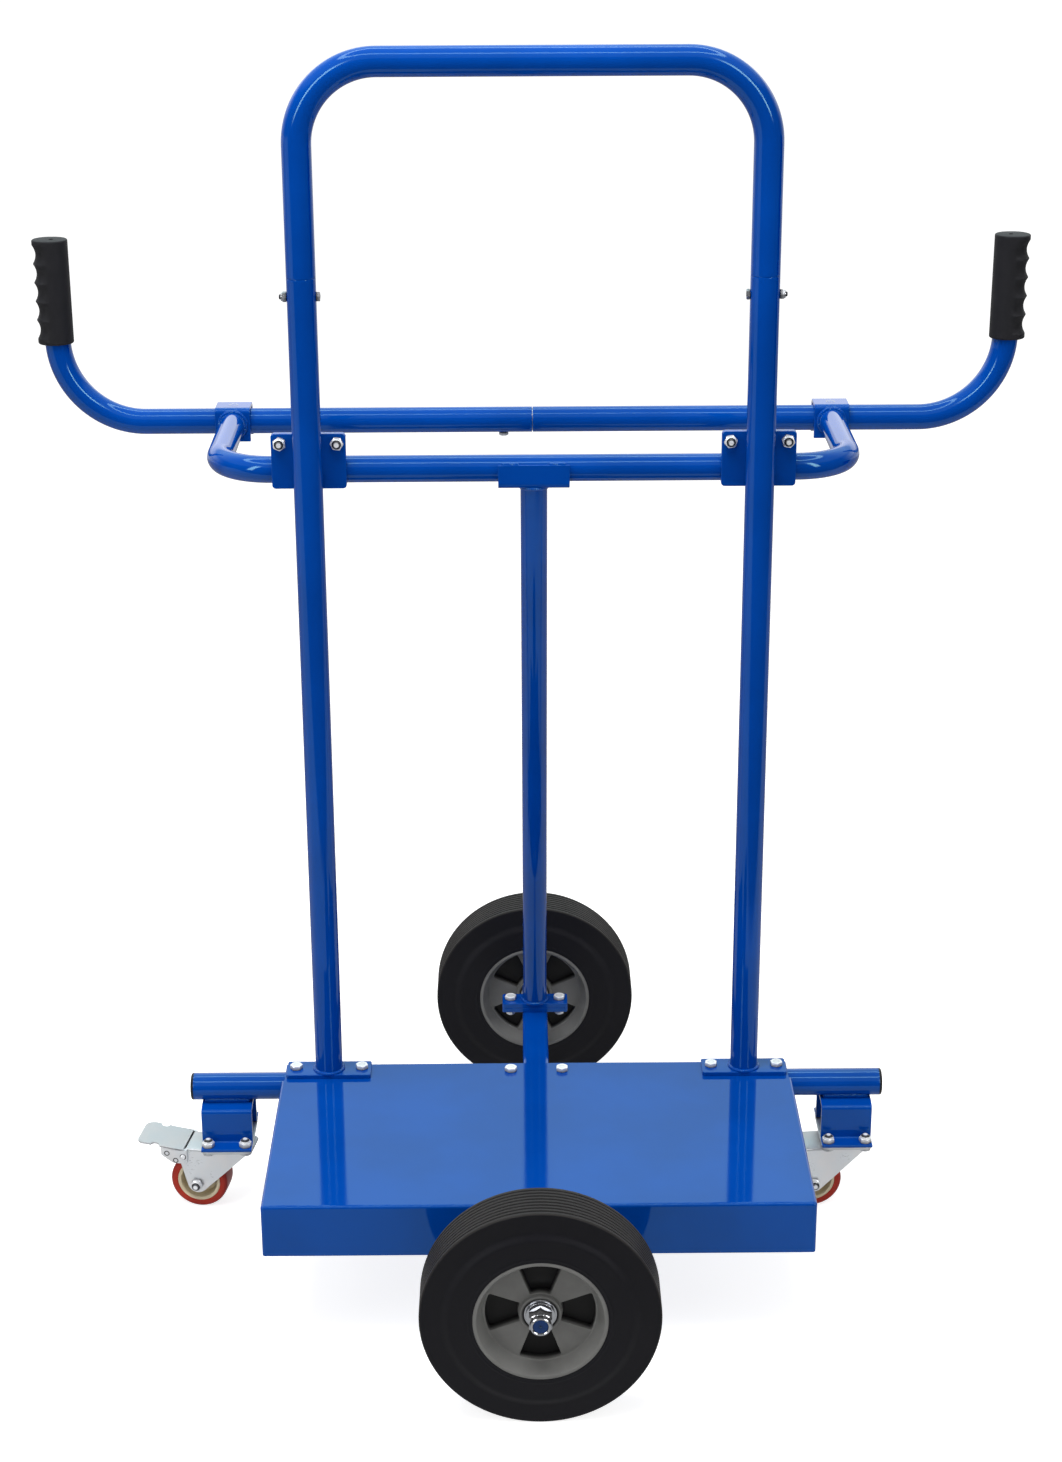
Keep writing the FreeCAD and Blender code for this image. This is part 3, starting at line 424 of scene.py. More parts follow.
def inset(outline: Floats, distance: float) -> Floats:
    """An outline moved inwards: each corner goes along the mitre of its two sides' normals."""
    along = unit(np.roll(outline, -1, axis=0) - outline)
    normal = np.stack([along[:, 1], -along[:, 0]], axis=1)
    before = np.roll(normal, 1, axis=0)
    mitre = (before + normal) / np.maximum(1 + (before * normal).sum(axis=1, keepdims=True), 0.2)
    following = np.roll(outline, -1, axis=0)
    area = (outline[:, 0] * following[:, 1] - outline[:, 1] * following[:, 0]).sum()
    return outline - distance * np.sign(area) * mitre


class Plane(Enum):
    """Which axes an outline lies on, and the one that it is pushed along."""

    LEVEL = (0, 1, 2)
    ACROSS = (1, 2, 0)
    FACING = (0, 2, 1)


def extrude(outline: Floats, plane: Plane, low: float, high: float, edges: tuple = (0.6, 0.6)) -> Skin:
    """An outline pushed along an axis, with rounded rims and flat ends.

    Args:
        outline: Points of the outline in its plane.
        plane: The outline's two axes and the axis of the push.
        low: Where the push starts.
        high: Where it ends.
        edges: Radius of the rim at the start and at the end.

    Returns:
        The closed surface.
    """
    lower = np.stack(rim_steps(edges[0]), axis=1)
    upper = np.stack(rim_steps(edges[1]), axis=1)[::-1]
    spare = min(0.3, (high - low - sum(edges)) / 4)
    insets = np.concatenate([lower[:, 0], [0, 0], upper[:, 0]])
    heights = np.concatenate(
        [low + lower[:, 1], [low + edges[0] + spare, high - edges[1] - spare], high - upper[:, 1]]
    )
    a, b, c = np.eye(3)[list(plane.value)]
    rings = np.stack([inset(outline, d) for d in insets])
    points = rings[..., :1] * a + rings[..., 1:] * b + heights[:, None, None] * c
    skin = grid(points, close_v=True)
    count = len(outline)
    ends = np.arange(count)
    skin.caps = [ends, (ends + count * (len(insets) - 1))[::-1]]
    return skin.closed()


def plate(length: float, width: float, t: float, corner: float, plane: Plane, edge: float = 0.7) -> Skin:
    """A plate with rounded corners and rims, its lower face centred on the origin."""
    outline = rounded_outline(rectangle(length, width), corner)
    return extrude(outline, plane, 0, t, (edge, edge))


@dataclass
class Path:
    """A line in one plane: its points, its directions and the plane's normal."""

    points: Floats
    along: Floats
    side: Floats

    @staticmethod
    def bent(corners: Sequence[Floats], bend_r: float, steps: int = 16) -> "Path":
        """Straight runs through the corners, joined by tangent arcs.

        Args:
            corners: The ends of the line and the corners between them.
            bend_r: Radius of the arcs on the tube's middle line.
            steps: Parts of each arc.

        Returns:
            The path, with points only at its ends and along its arcs.
        """
        corners = np.stack(corners)
        into = unit(corners[1:-1] - corners[:-2])
        out = unit(corners[2:] - corners[1:-1])
        arcs, ways = tangent_arcs(corners[1:-1], into, out, bend_r, steps)
        points = np.concatenate([corners[:1], arcs.reshape(-1, 3), corners[-1:]])
        along = np.concatenate([into[:1], ways.reshape(-1, 3), out[-1:]])
        return Path(points, along, unit(np.cross(into[0], out[0])))

    @staticmethod
    def straight(start: Floats, end: Floats, count: int = 2) -> "Path":
        """A straight line with evenly spaced points."""
        points = start + np.linspace(0, 1, count)[:, None] * (end - start)
        way = unit(end - start)
        return Path(points, np.repeat(way[None, :], count, axis=0), cross_axes(way)[0])

    @staticmethod
    def loop(centre: Floats, a: Floats, b: Floats, count: int) -> "Path":
        """An ellipse: centre + a cos t + b sin t."""
        t = around(count).T
        points = centre + np.cos(t) * a + np.sin(t) * b
        along = unit(-np.sin(t) * a + np.cos(t) * b)
        return Path(points, along, unit(np.cross(a, b)))

    def rings(self, radius: Floats, count: int) -> Floats:
        """Circles of the given radii about the path's points, across its directions."""
        out = np.cross(self.side, self.along)
        t = around(count)[..., None]
        spokes = np.cos(t) * self.side + np.sin(t) * out[:, None, :]
        return self.points[:, None, :] + radius[:, None, None] * spokes


def bar(path: Path, radius: float, edge: float = 0.5, support: float = 2.0, count: int = 56) -> Skin:
    """A round bar along a path, closed at both ends by flat discs with rounded rims.

    Args:
        path: The bar's middle line.
        radius: The bar's radius.
        edge: Radius of the rims.
        support: Distance from a rim of the ring that keeps the shading of the bar even.
        count: Number of points around.

    Returns:
        The closed surface.
    """
    drop, back = rim_steps(edge, 3)
    drop = np.concatenate([[radius], drop, [0.0]])
    back = np.concatenate([[0.0], back, [edge + support]])[:, None]
    start = path.points[0] + back * path.along[0]
    end = (path.points[-1] - back * path.along[-1])[::-1]
    points = np.concatenate([start, path.points[1:-1], end])
    rings = np.ones(len(path.points), int)
    rings[[0, -1]] = len(back)
    along = np.repeat(path.along, rings, axis=0)
    middle = np.full(len(path.points) - 2, radius)
    radii = np.concatenate([radius - drop, middle, (radius - drop)[::-1]])
    return grid(Path(points, along, path.side).rings(radii, count), close_v=True).closed()


# Weld beads: their size and ripple, and how far their middles lie off a plate's face and a tube's

BEAD_R = 2.6
BEAD_OFF_PLATE = 0.6
BEAD_OFF_TUBE = 0.5
BEAD_PITCH = 2.4
BEAD_STEP = 0.55
BEAD_RIPPLE = 0.14
BEAD_END_POWER = 14


def bead(path: Path, radius: float, pitch: float, closed: bool) -> Skin:
    """A weld bead: a rope along the path whose radius swells and sinks once per ripple.

    The radius is r (1 - k + k |sin(pi s / pitch)|) at the length s, and falls to 0 at open ends.

    Args:
        path: The bead's middle line, finely divided.
        radius: The bead's radius.
        pitch: Length of one ripple.
        closed: Whether the bead goes all the way round.

    Returns:
        The closed surface.
    """
    steps = np.linalg.norm(np.diff(path.points, axis=0), axis=1)
    s = np.concatenate([[0.0], np.cumsum(steps)])
    radii = radius * (1 - BEAD_RIPPLE + BEAD_RIPPLE * np.abs(np.sin(math.pi * s / pitch)))
    if not closed:
        radii = radii * np.sqrt(np.clip(1 - np.abs(2 * s / s[-1] - 1) ** BEAD_END_POWER, 0, 1))
    return grid(path.rings(radii, 12), close_u=closed, close_v=True).closed()


def ring_bead(centre: Floats, a: Floats, b: Floats) -> Skin:
    """A weld bead all the way round an ellipse."""
    girth = TURN * math.sqrt((a @ a + b @ b) / 2)
    path = Path.loop(centre, a, b, int(girth / BEAD_STEP))
    return bead(path, BEAD_R, girth / round(girth / BEAD_PITCH), True)


def line_bead(start: Floats, end: Floats, radius: float = BEAD_R) -> Skin:
    """A weld bead along a straight line."""
    length = float(np.linalg.norm(end - start))
    return bead(Path.straight(start, end, int(length / BEAD_STEP)), radius, BEAD_PITCH, False)


# Fasteners


@dataclass(frozen=True)
class Screw:
    """Sizes of a hexagon screw and its lock nut, and the painted shade that darkens their foot, sides, waist
    and thread.
    """

    d: float
    af: float
    head_h: float
    nut_h: float
    pitch: float
    tip: float = 2.0
    face_share: float = 0.94
    collar_share: float = 0.88
    waist_share: float = 0.76
    dish: float = 0.3
    rim_share: float = 0.72
    dish_share: float = 0.64
    thread_depth: float = 0.6
    taper: float = 0.9
    tip_share: float = 0.58
    # Painted shade: dark at the hexagon's foot, faint at the top of its sides, at the nut's waist and along
    # the thread
    foot_painted_shade: float = 0.85
    side_painted_shade: float = 0.1
    waist_painted_shade: float = 0.25
    thread_painted_shade: float = 0.95

    @property
    def face_r(self) -> float:
        """Radius of the round faces that cones leave on the hexagon."""
        return self.face_share * self.af / 2

    def sides(self, angles: Floats, low: float, high: float) -> list[tuple]:
        """Rings of the hexagon's foot and sides, whose corners are cut by cones of 30 degrees.

        Args:
            angles: Angles of the points.
            low: Radius where the foot starts.
            high: Height of the upper face.

        Returns:
            Radius, height and tone of each ring.
        """
        corner = hexagon(self.af, angles)
        cone = (corner - self.face_r) * CONE_SLOPE
        foot = [(low, 0), (self.face_r, 0), (corner, cone)]
        # painted shade: the foot's rings take the foot's shade, the top of the sides the faint side shade
        return [(*row, self.foot_painted_shade) for row in foot] + [(corner, high - cone, self.side_painted_shade)]

    def head(self, seat: Floats, axis: Floats, turn: float = 0.0) -> Skin:
        """A hexagon head with a shallow dish on top.

        Args:
            seat: Middle of the face that it stands on.
            axis: Direction that it stands in.
            turn: Turn about the axis.

        Returns:
            The closed surface, with painted shade at its foot and in its dish.
        """
        a, r, top = around(48), self.face_r, self.head_h
        floor = top - self.dish
        rim, dish = self.rim_share * r, self.dish_share * r
        # painted shade in the dish: 0.3 at its edge, 0.1 at its middle
        dished = [(r, top, 0), (rim, top, 0), (dish, floor, 0.3), (0, floor, 0.1)]
        return ringed(self.sides(a, 0, top) + dished, a + turn, seat, axis)

    def lock_nut(self, seat: Floats, axis: Floats, turn: float = 0.0) -> Skin:
        """A hexagon nut with a round collar that holds a dark nylon ring.

        Args:
            seat: Middle of the face that it stands on.
            axis: Direction that it stands in.
            turn: Turn about the axis.

        Returns:
            The closed surface, with painted shade at its foot, sides and waist, and the tone 1 on the nylon
            ring.
        """
        a, bore, top = around(48), self.d / 2 + FIT_GAP, self.nut_h
        collar, waist = self.collar_share * self.af / 2, self.waist_share * top
        # painted shade at the waist; the tone 1 at the top is the nylon ring's own dark colour
        rows = self.sides(a, bore, waist) + [
            (self.face_r, waist, self.waist_painted_shade),
            (collar, waist + 0.1, self.waist_painted_shade),
            (collar, top - 0.7, 0),
            (collar - 0.2, top - 0.2, 0),
            (collar - 0.5, top, 0),
            (collar - 0.6, top - 0.3, 1),
            (bore + 0.4, top - 0.4, 1),
            (bore, top - 0.6, 1),
        ]
        return ringed(rows, a + turn, seat, axis, ring=True)

    def thread(self, low: float, high: float, place: Floats, axis: Floats) -> Skin:
        """A threaded end, whose radius falls as (height / pitch - angle / turn) leaves a whole number.

        Args:
            low: Height where the thread starts.
            high: Height of the tip.
            place: Point of height 0 on the axis.
            axis: Direction of the tip.

        Returns:
            The closed surface, with painted shade along the thread, outside the tip's middle.
        """
        a, dark = around(28), self.thread_painted_shade
        h = np.linspace(low, high, max(8, int((high - low) / self.pitch * 8)))[:, None]
        phase = np.mod(h / self.pitch - a / TURN, 1.0)
        r = self.d / 2 - self.thread_depth * self.pitch * np.abs(2 * phase - 1)
        r = np.minimum(r, self.d / 2 - self.taper + (high - h))
        # painted shade along the thread; the tip's face stays light
        rows = [(0, low, dark), (r, h, dark), (self.tip_share * self.d / 2, high, 0), (0, high, 0)]
        return ringed(rows, a, place, axis)

    def bolt(self, seat: Floats, axis: Floats, grip: float, turn: float = 0.0) -> Skin:
        """A head on its seat, a plain shank through the grip, and a threaded end past the nut.

        Args:
            seat: Middle of the face that the head stands on.
            axis: Direction that the head stands in.
            grip: Length from the head's seat to the nut's.
            turn: Turn of the head.

        Returns:
            The surfaces of the bolt.
        """
        shank = disc(self.d / 2, 0, grip, seat, -axis, 0.2, count=28)
        end = self.thread(grip, grip + self.nut_h + self.tip, seat, -axis)
        return joined([self.head(seat, axis, turn), shank, end])


M6 = Screw(6.0, 10.0, 4.0, 6.0, 1.0)
M8 = Screw(8.0, 13.0, 5.3, 8.0, 1.25)
M8_LOW = Screw(8.0, 13.0, 3.6, 8.0, 1.25)


# Finishes


def srgb(red: float, green: float, blue: float) -> tuple[float, float, float, float]:
    """A display colour of 0 to 255 as a linear colour for a socket."""
    c = np.array((red, green, blue)) / 255
    linear = np.where(c <= 0.04045, c / 12.92, ((c + 0.055) / 1.055) ** 2.4)
    return (*linear.tolist(), 1.0)


class Wire:
    """A value socket that can be written in sums: each operator adds a Math node."""

    def __init__(self, book: "NodeBook", socket: bpy.types.NodeSocket) -> None:
        """Keeps the node tree and the socket."""
        self.book = book
        self.socket = socket

    def __add__(self, other: "Wire | float") -> "Wire":
        """The sum."""
        return self.book.math("ADD", self, other)

    def __sub__(self, other: "Wire | float") -> "Wire":
        """The difference."""
        return self.book.math("SUBTRACT", self, other)

    def __rsub__(self, other: float) -> "Wire":
        """The difference from a number."""
        return self.book.math("SUBTRACT", other, self)

    def __mul__(self, other: "Wire | float") -> "Wire":
        """The product."""
        return self.book.math("MULTIPLY", self, other)

    __radd__ = __add__
    __rmul__ = __mul__


class NodeBook:
    """A material's node tree, and the few ways that its nodes are made."""

    NOISE_ROUGHNESS = 0.55

    def __init__(self, name: str, tree: bpy.types.NodeTree | None = None) -> None:
        """Starts an empty material, or empties a tree that is there already.

        Args:
            name: The material's name.
            tree: The tree to work in, where it isn't a material's.
        """
        if tree is None:
            self.material = bpy.data.materials.new(name)
            self.material.use_nodes = True
            tree = self.material.node_tree
        self.tree = tree
        self.tree.nodes.clear()
        self.place = self.node("ShaderNodeTexCoord").outputs["Object"]

    def node(self, kind: str, sockets: dict | None = None, settings: dict | None = None) -> bpy.types.Node:
        """A new node: its settings first, then the values or links of its sockets.

        Args:
            kind: The node's type.
            sockets: Values, wires or sockets by input name or number.
            settings: Values of its properties.

        Returns:
            The node.
        """
        node = self.tree.nodes.new(kind)
        for key, value in (settings or {}).items():
            setattr(node, key, value)
        for key, value in (sockets or {}).items():
            value = value.socket if isinstance(value, Wire) else value
            if isinstance(value, bpy.types.NodeSocket):
                self.tree.links.new(value, node.inputs[key])
            else:
                node.inputs[key].default_value = value
        return node

    def math(self, operation: str, a: "Wire | float", b: "Wire | float") -> Wire:
        """One step of arithmetic."""
        return Wire(self, self.node("ShaderNodeMath", {0: a, 1: b}, {"operation": operation}).outputs[0])

    def noise(self, scale: float, detail: float, stretch: tuple[float, float, float] | None = None) -> Wire:
        """Cloudy noise over the piece, from 0 to 1.

        Args:
            scale: Clouds per metre.
            detail: How many finer layers it has.
            stretch: Scale along each axis, where the clouds are drawn out.

        Returns:
            The noise.
        """
        place = self.place
        if stretch:
            place = self.node("ShaderNodeMapping", {"Vector": place, "Scale": stretch}).outputs[0]
        sockets = {"Vector": place, "Scale": scale, "Detail": detail, "Roughness": self.NOISE_ROUGHNESS}
        return Wire(self, self.node("ShaderNodeTexNoise", sockets).outputs[0])

    def band(self, value: Wire, low: float, high: float) -> Wire:
        """A smooth step from 0 to 1 as a value goes from low to high."""
        settings = {"interpolation_type": "SMOOTHSTEP"}
        sockets = {"Value": value, "From Min": low, "From Max": high}
        return Wire(self, self.node("ShaderNodeMapRange", sockets, settings).outputs[0])

    def window(self, value: Wire, rise: tuple[float, float], fall: tuple[float, float]) -> Wire:
        """A smooth step up where a value passes the rise, and down again where it passes the fall."""
        return self.band(value, *rise) - self.band(value, *fall)

    def tone(self) -> Wire:
        """The tone that the piece's points carry."""
        settings = {"attribute_name": "tone"}
        return Wire(self, self.node("ShaderNodeAttribute", None, settings).outputs["Fac"])

    def mix(self, share: Wire, a: Any, b: Any) -> bpy.types.NodeSocket:
        """A colour between two others.

        Args:
            share: 0 for the first colour, 1 for the second.
            a: First colour or socket.
            b: Second colour or socket.

        Returns:
            The mixed colour's socket.
        """
        return self.node("ShaderNodeMix", {0: share, 6: a, 7: b}, {"data_type": "RGBA"}).outputs[2]

    def bump(self, height: Wire, strength: float, distance: float) -> bpy.types.NodeSocket:
        """A bumpy normal from a height, with the distance in metres."""
        sockets = {"Strength": strength, "Distance": distance, "Height": height}
        return self.node("ShaderNodeBump", sockets).outputs[0]

    def surface(self, sockets: dict[str, Any]) -> bpy.types.Material:
        """Ends the tree in one shader of the given sockets."""
        shader = self.node("ShaderNodeBsdfPrincipled", sockets)
        self.node("ShaderNodeOutputMaterial", {"Surface": shader.outputs[0]})
        return self.material


@dataclass(frozen=True)
class GlossPaint:
    """Gloss powder coat: a deep even colour with a faint orange peel, darker where the tone is 1."""

    name: str = "gloss_blue_powder_coat"
    deep: tuple = srgb(0, 59, 144)
    bright: tuple = srgb(0, 65, 156)
    # dark navy where the tone is up: the axle's ends, and painted shade in their drilled centres
    sunk: tuple = srgb(14, 20, 74)
    ior: float = 1.44
    sheen: tuple = (0.5, 1.0, 0.95, 1.0)

    def material(self) -> bpy.types.Material:
        """The paint, with its peel about a millimetre and a half apart."""
        book = NodeBook(self.name)
        cloud = book.noise(7.0, 3.0)
        peel = book.noise(620.0, 1.0) + 0.35 * book.noise(1900.0, 1.0)
        even = book.mix(book.band(cloud, 0.3, 0.7), self.deep, self.bright)
        return book.surface(
            {
                "Base Color": book.mix(book.tone(), even, self.sunk),
                "Roughness": 0.03 + 0.04 * cloud,
                "IOR": self.ior,
                "Specular Tint": self.sheen,
                "Normal": book.bump(peel, 0.03, 0.0003),
            }
        )


@dataclass(frozen=True)
class ZincPlate:
    """Bright zinc in cool and faintly yellow patches, with fine drawn lines, dark where the tone is 1: the
    nylon rings' own colour, and painted shade elsewhere.
    """

    name: str = "bright_zinc_plate"
    cool: tuple = (0.71, 0.74, 0.77, 1.0)
    warm: tuple = (0.76, 0.76, 0.77, 1.0)
    metal: float = 0.62
    roughness: float = 0.3
    # the nylon rings' own dark colour, and the colour of painted shade on screws, rivets, plates, crown and
    # pedal
    insert_and_painted_shade: tuple = srgb(30, 32, 38)

    def material(self) -> bpy.types.Material:
        """The plating, with its roughness in soft patches and along the drawn lines."""
        book = NodeBook(self.name)
        patch = book.noise(38.0, 4.0)
        lines = book.noise(260.0, 2.0, (1.0, 1.0, 9.0))
        tone = book.tone()
        plating = book.mix(book.band(patch, 0.35, 0.7), self.cool, self.warm)
        return book.surface(
            {
                # the tone mixes in the dark colour: the nylon rings' own, and painted shade on the rest
                "Base Color": book.mix(tone, plating, self.insert_and_painted_shade),
                "Metallic": self.metal - self.metal * tone,
                "Roughness": self.roughness * (0.6 + 0.6 * patch + 0.3 * lines) + 0.3 * tone,
                "Normal": book.bump(lines, 0.04, 0.0002),
            }
        )


@dataclass(frozen=True)
class TyreRubber:
    """Solid rubber: dark smooth walls, and a greyer, duller tread where the tone is 1."""

    name: str = "solid_tyre_rubber"
    wall: tuple = srgb(21, 21, 25)
    tread: tuple = srgb(44, 42, 41)
    shine: float = 0.12

    def material(self) -> bpy.types.Material:
        """The rubber, with a fine skin and a little dust in soft patches."""
        book = NodeBook(self.name)
        dust = book.noise(26.0, 5.0)
        grain = book.noise(1500.0, 2.0)
        tone = book.tone()
        share = 0.06 * book.band(dust, 0.45, 0.8) + tone * (0.82 + 0.3 * (dust - 0.5))
        return book.surface(
            {
                "Base Color": book.mix(share, self.wall, self.tread),
                "Roughness": 0.46 + 0.04 * tone + 0.14 * (dust - 0.5),
                "Specular IOR Level": self.shine,
                "Normal": book.bump(grain, 0.12, 0.0003),
            }
        )


@dataclass(frozen=True)
class MouldedPlastic:
    """Moulded plastic with a fine grain, in one colour, and in a second one where the tone is 1."""

    name: str
    colour: tuple
    second: tuple
    roughness: float = 0.45
    grain: float = 900.0
    relief: float = 0.1
    shine: float = 0.2

    def material(self) -> bpy.types.Material:
        """The plastic, with faint flow marks in its colour and its shine."""
        book = NodeBook(self.name)
        flow = book.noise(30.0, 4.0)
        grain = book.noise(self.grain, 2.0)
        tone = book.tone()
        darker = tuple(0.82 * c for c in self.colour[:3]) + (1.0,)
        body = book.mix(book.band(flow, 0.3, 0.75), self.colour, darker)
        return book.surface(
            {
                "Base Color": book.mix(tone, body, self.second),
                "Roughness": self.roughness - 0.07 + 0.14 * flow + 0.1 * tone,
                "Specular IOR Level": self.shine,
                "Normal": book.bump(grain, self.relief, 0.0003),
            }
        )


def finishes() -> dict[Slot | Steel, bpy.types.Material]:
    """Every finish of the dolly by its slot, and those of small steel pieces."""
    black = srgb(24, 24, 26)
    pale, silver = (0.88, 0.90, 0.92, 1.0), (0.36, 0.37, 0.39, 1.0)
    cream, shaded_cream = srgb(222, 208, 176), srgb(190, 178, 150)
    looks = {
        Steel.SCREW: ZincPlate(Steel.SCREW.value, pale, pale, 0.25, 0.14),
        Steel.HUB: ZincPlate(Steel.HUB.value, silver, silver, 0.92, 0.1),
        Slot.BLUE: GlossPaint(),
        Slot.ZINC: ZincPlate(),
        Slot.TYRE: TyreRubber(),
        # the rim's near-black second colour fills the pockets, and is painted shade round the bearing
        Slot.RIM: MouldedPlastic("grey_rim_plastic", srgb(115, 115, 113), srgb(7, 7, 8), 0.36),
        Slot.CAP: MouldedPlastic("black_cap_plastic", black, black, 0.42),
        # the grip's black second colour only shows as painted shade in the vent
        Slot.GRIP: MouldedPlastic("matt_grip_rubber", srgb(30, 30, 33), black, 0.62, 1300.0, 0.25),
        Slot.TREAD: MouldedPlastic("red_caster_tread", srgb(178, 50, 34), srgb(138, 32, 30), 0.36),
        Slot.HUB: MouldedPlastic("cream_caster_hub", cream, shaded_cream, 0.4),
    }
    return {slot: finish.material() for slot, finish in looks.items()}


# Where pieces are put into the scene


class Bench:
    """Puts finished pieces into the scene and ties each to the body that it rides on."""

    def __init__(self, materials: dict[Slot | Steel, bpy.types.Material]) -> None:
        """Keeps the finishes and starts an empty list of lock nuts."""
        self.materials = materials
        self.lock_nuts: list[Skin] = []

    def fit(
        self,
        name: str,
        skins: Sequence[Skin],
        slot: Slot,
        stands_for: Sequence[str] = (),
        steel: Steel | None = None,
        body: str = "frame",
    ) -> None:
        """Writes one piece's mesh, dresses it and lets it ride.

        Args:
            name: The piece's name.
            skins: Its surfaces.
            slot: The slot of its finish.
            stands_for: The solids that it replaces.
            steel: The finish that it has in place of its slot's.
            body: The body that it rides on.
        """
        skin = joined(list(skins))
        faces = skin.faces()
        mesh = bpy.data.meshes.new(name)
        mesh.from_pydata((skin.points * MM).tolist(), [], faces)
        smooth = np.ones(len(faces), bool)
        smooth[len(faces) - len(skin.caps) :] = False
        mesh.polygons.foreach_set("use_smooth", smooth)
        tone = mesh.attributes.new("tone", "FLOAT", "POINT")
        tone.data.foreach_set("value", skin.tone.astype(np.float32))
        mesh.set_sharp_from_angle(angle=SMOOTH_BELOW)
        mesh.materials.append(self.materials[steel or slot])
        mesh.update()
        piece = bpy.data.objects.new(name, mesh)
        bpy.context.scene.collection.objects.link(piece)
        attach(piece, body)
        if stands_for:
            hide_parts(*stands_for)
        log.info("%s: %d faces on %s in %s", name, len(faces), body, slot.value)

    def bolt(self, name: str, node: str, screw: Screw, seats: Sequence[tuple]) -> None:
        """Fits a set of bolts, and keeps their nuts for the one piece that holds all lock nuts.

        Args:
            name: The piece's name.
            node: The solid that it replaces.
            screw: The bolts' sizes.
            seats: Place, direction, grip and turn of each bolt's head.
        """
        self.fit(name, [screw.bolt(*seat) for seat in seats], Slot.ZINC, [node], Steel.SCREW)
        for place, axis, grip, turn in seats:
            self.lock_nuts.append(screw.lock_nut(place - axis * grip, -axis, turn))

    def dress_solids(self, slots: dict[str, Slot]) -> None:
        """Gives each solid that still shows its finish.

        Args:
            slots: The slot of each solid that isn't replaced.
        """
        for name, slot in slots.items():
            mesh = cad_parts[name].data
            mesh.materials.clear()
            mesh.materials.append(self.materials[slot])
            log.info("%s: solid kept in %s", name, slot.value)


# Road wheels


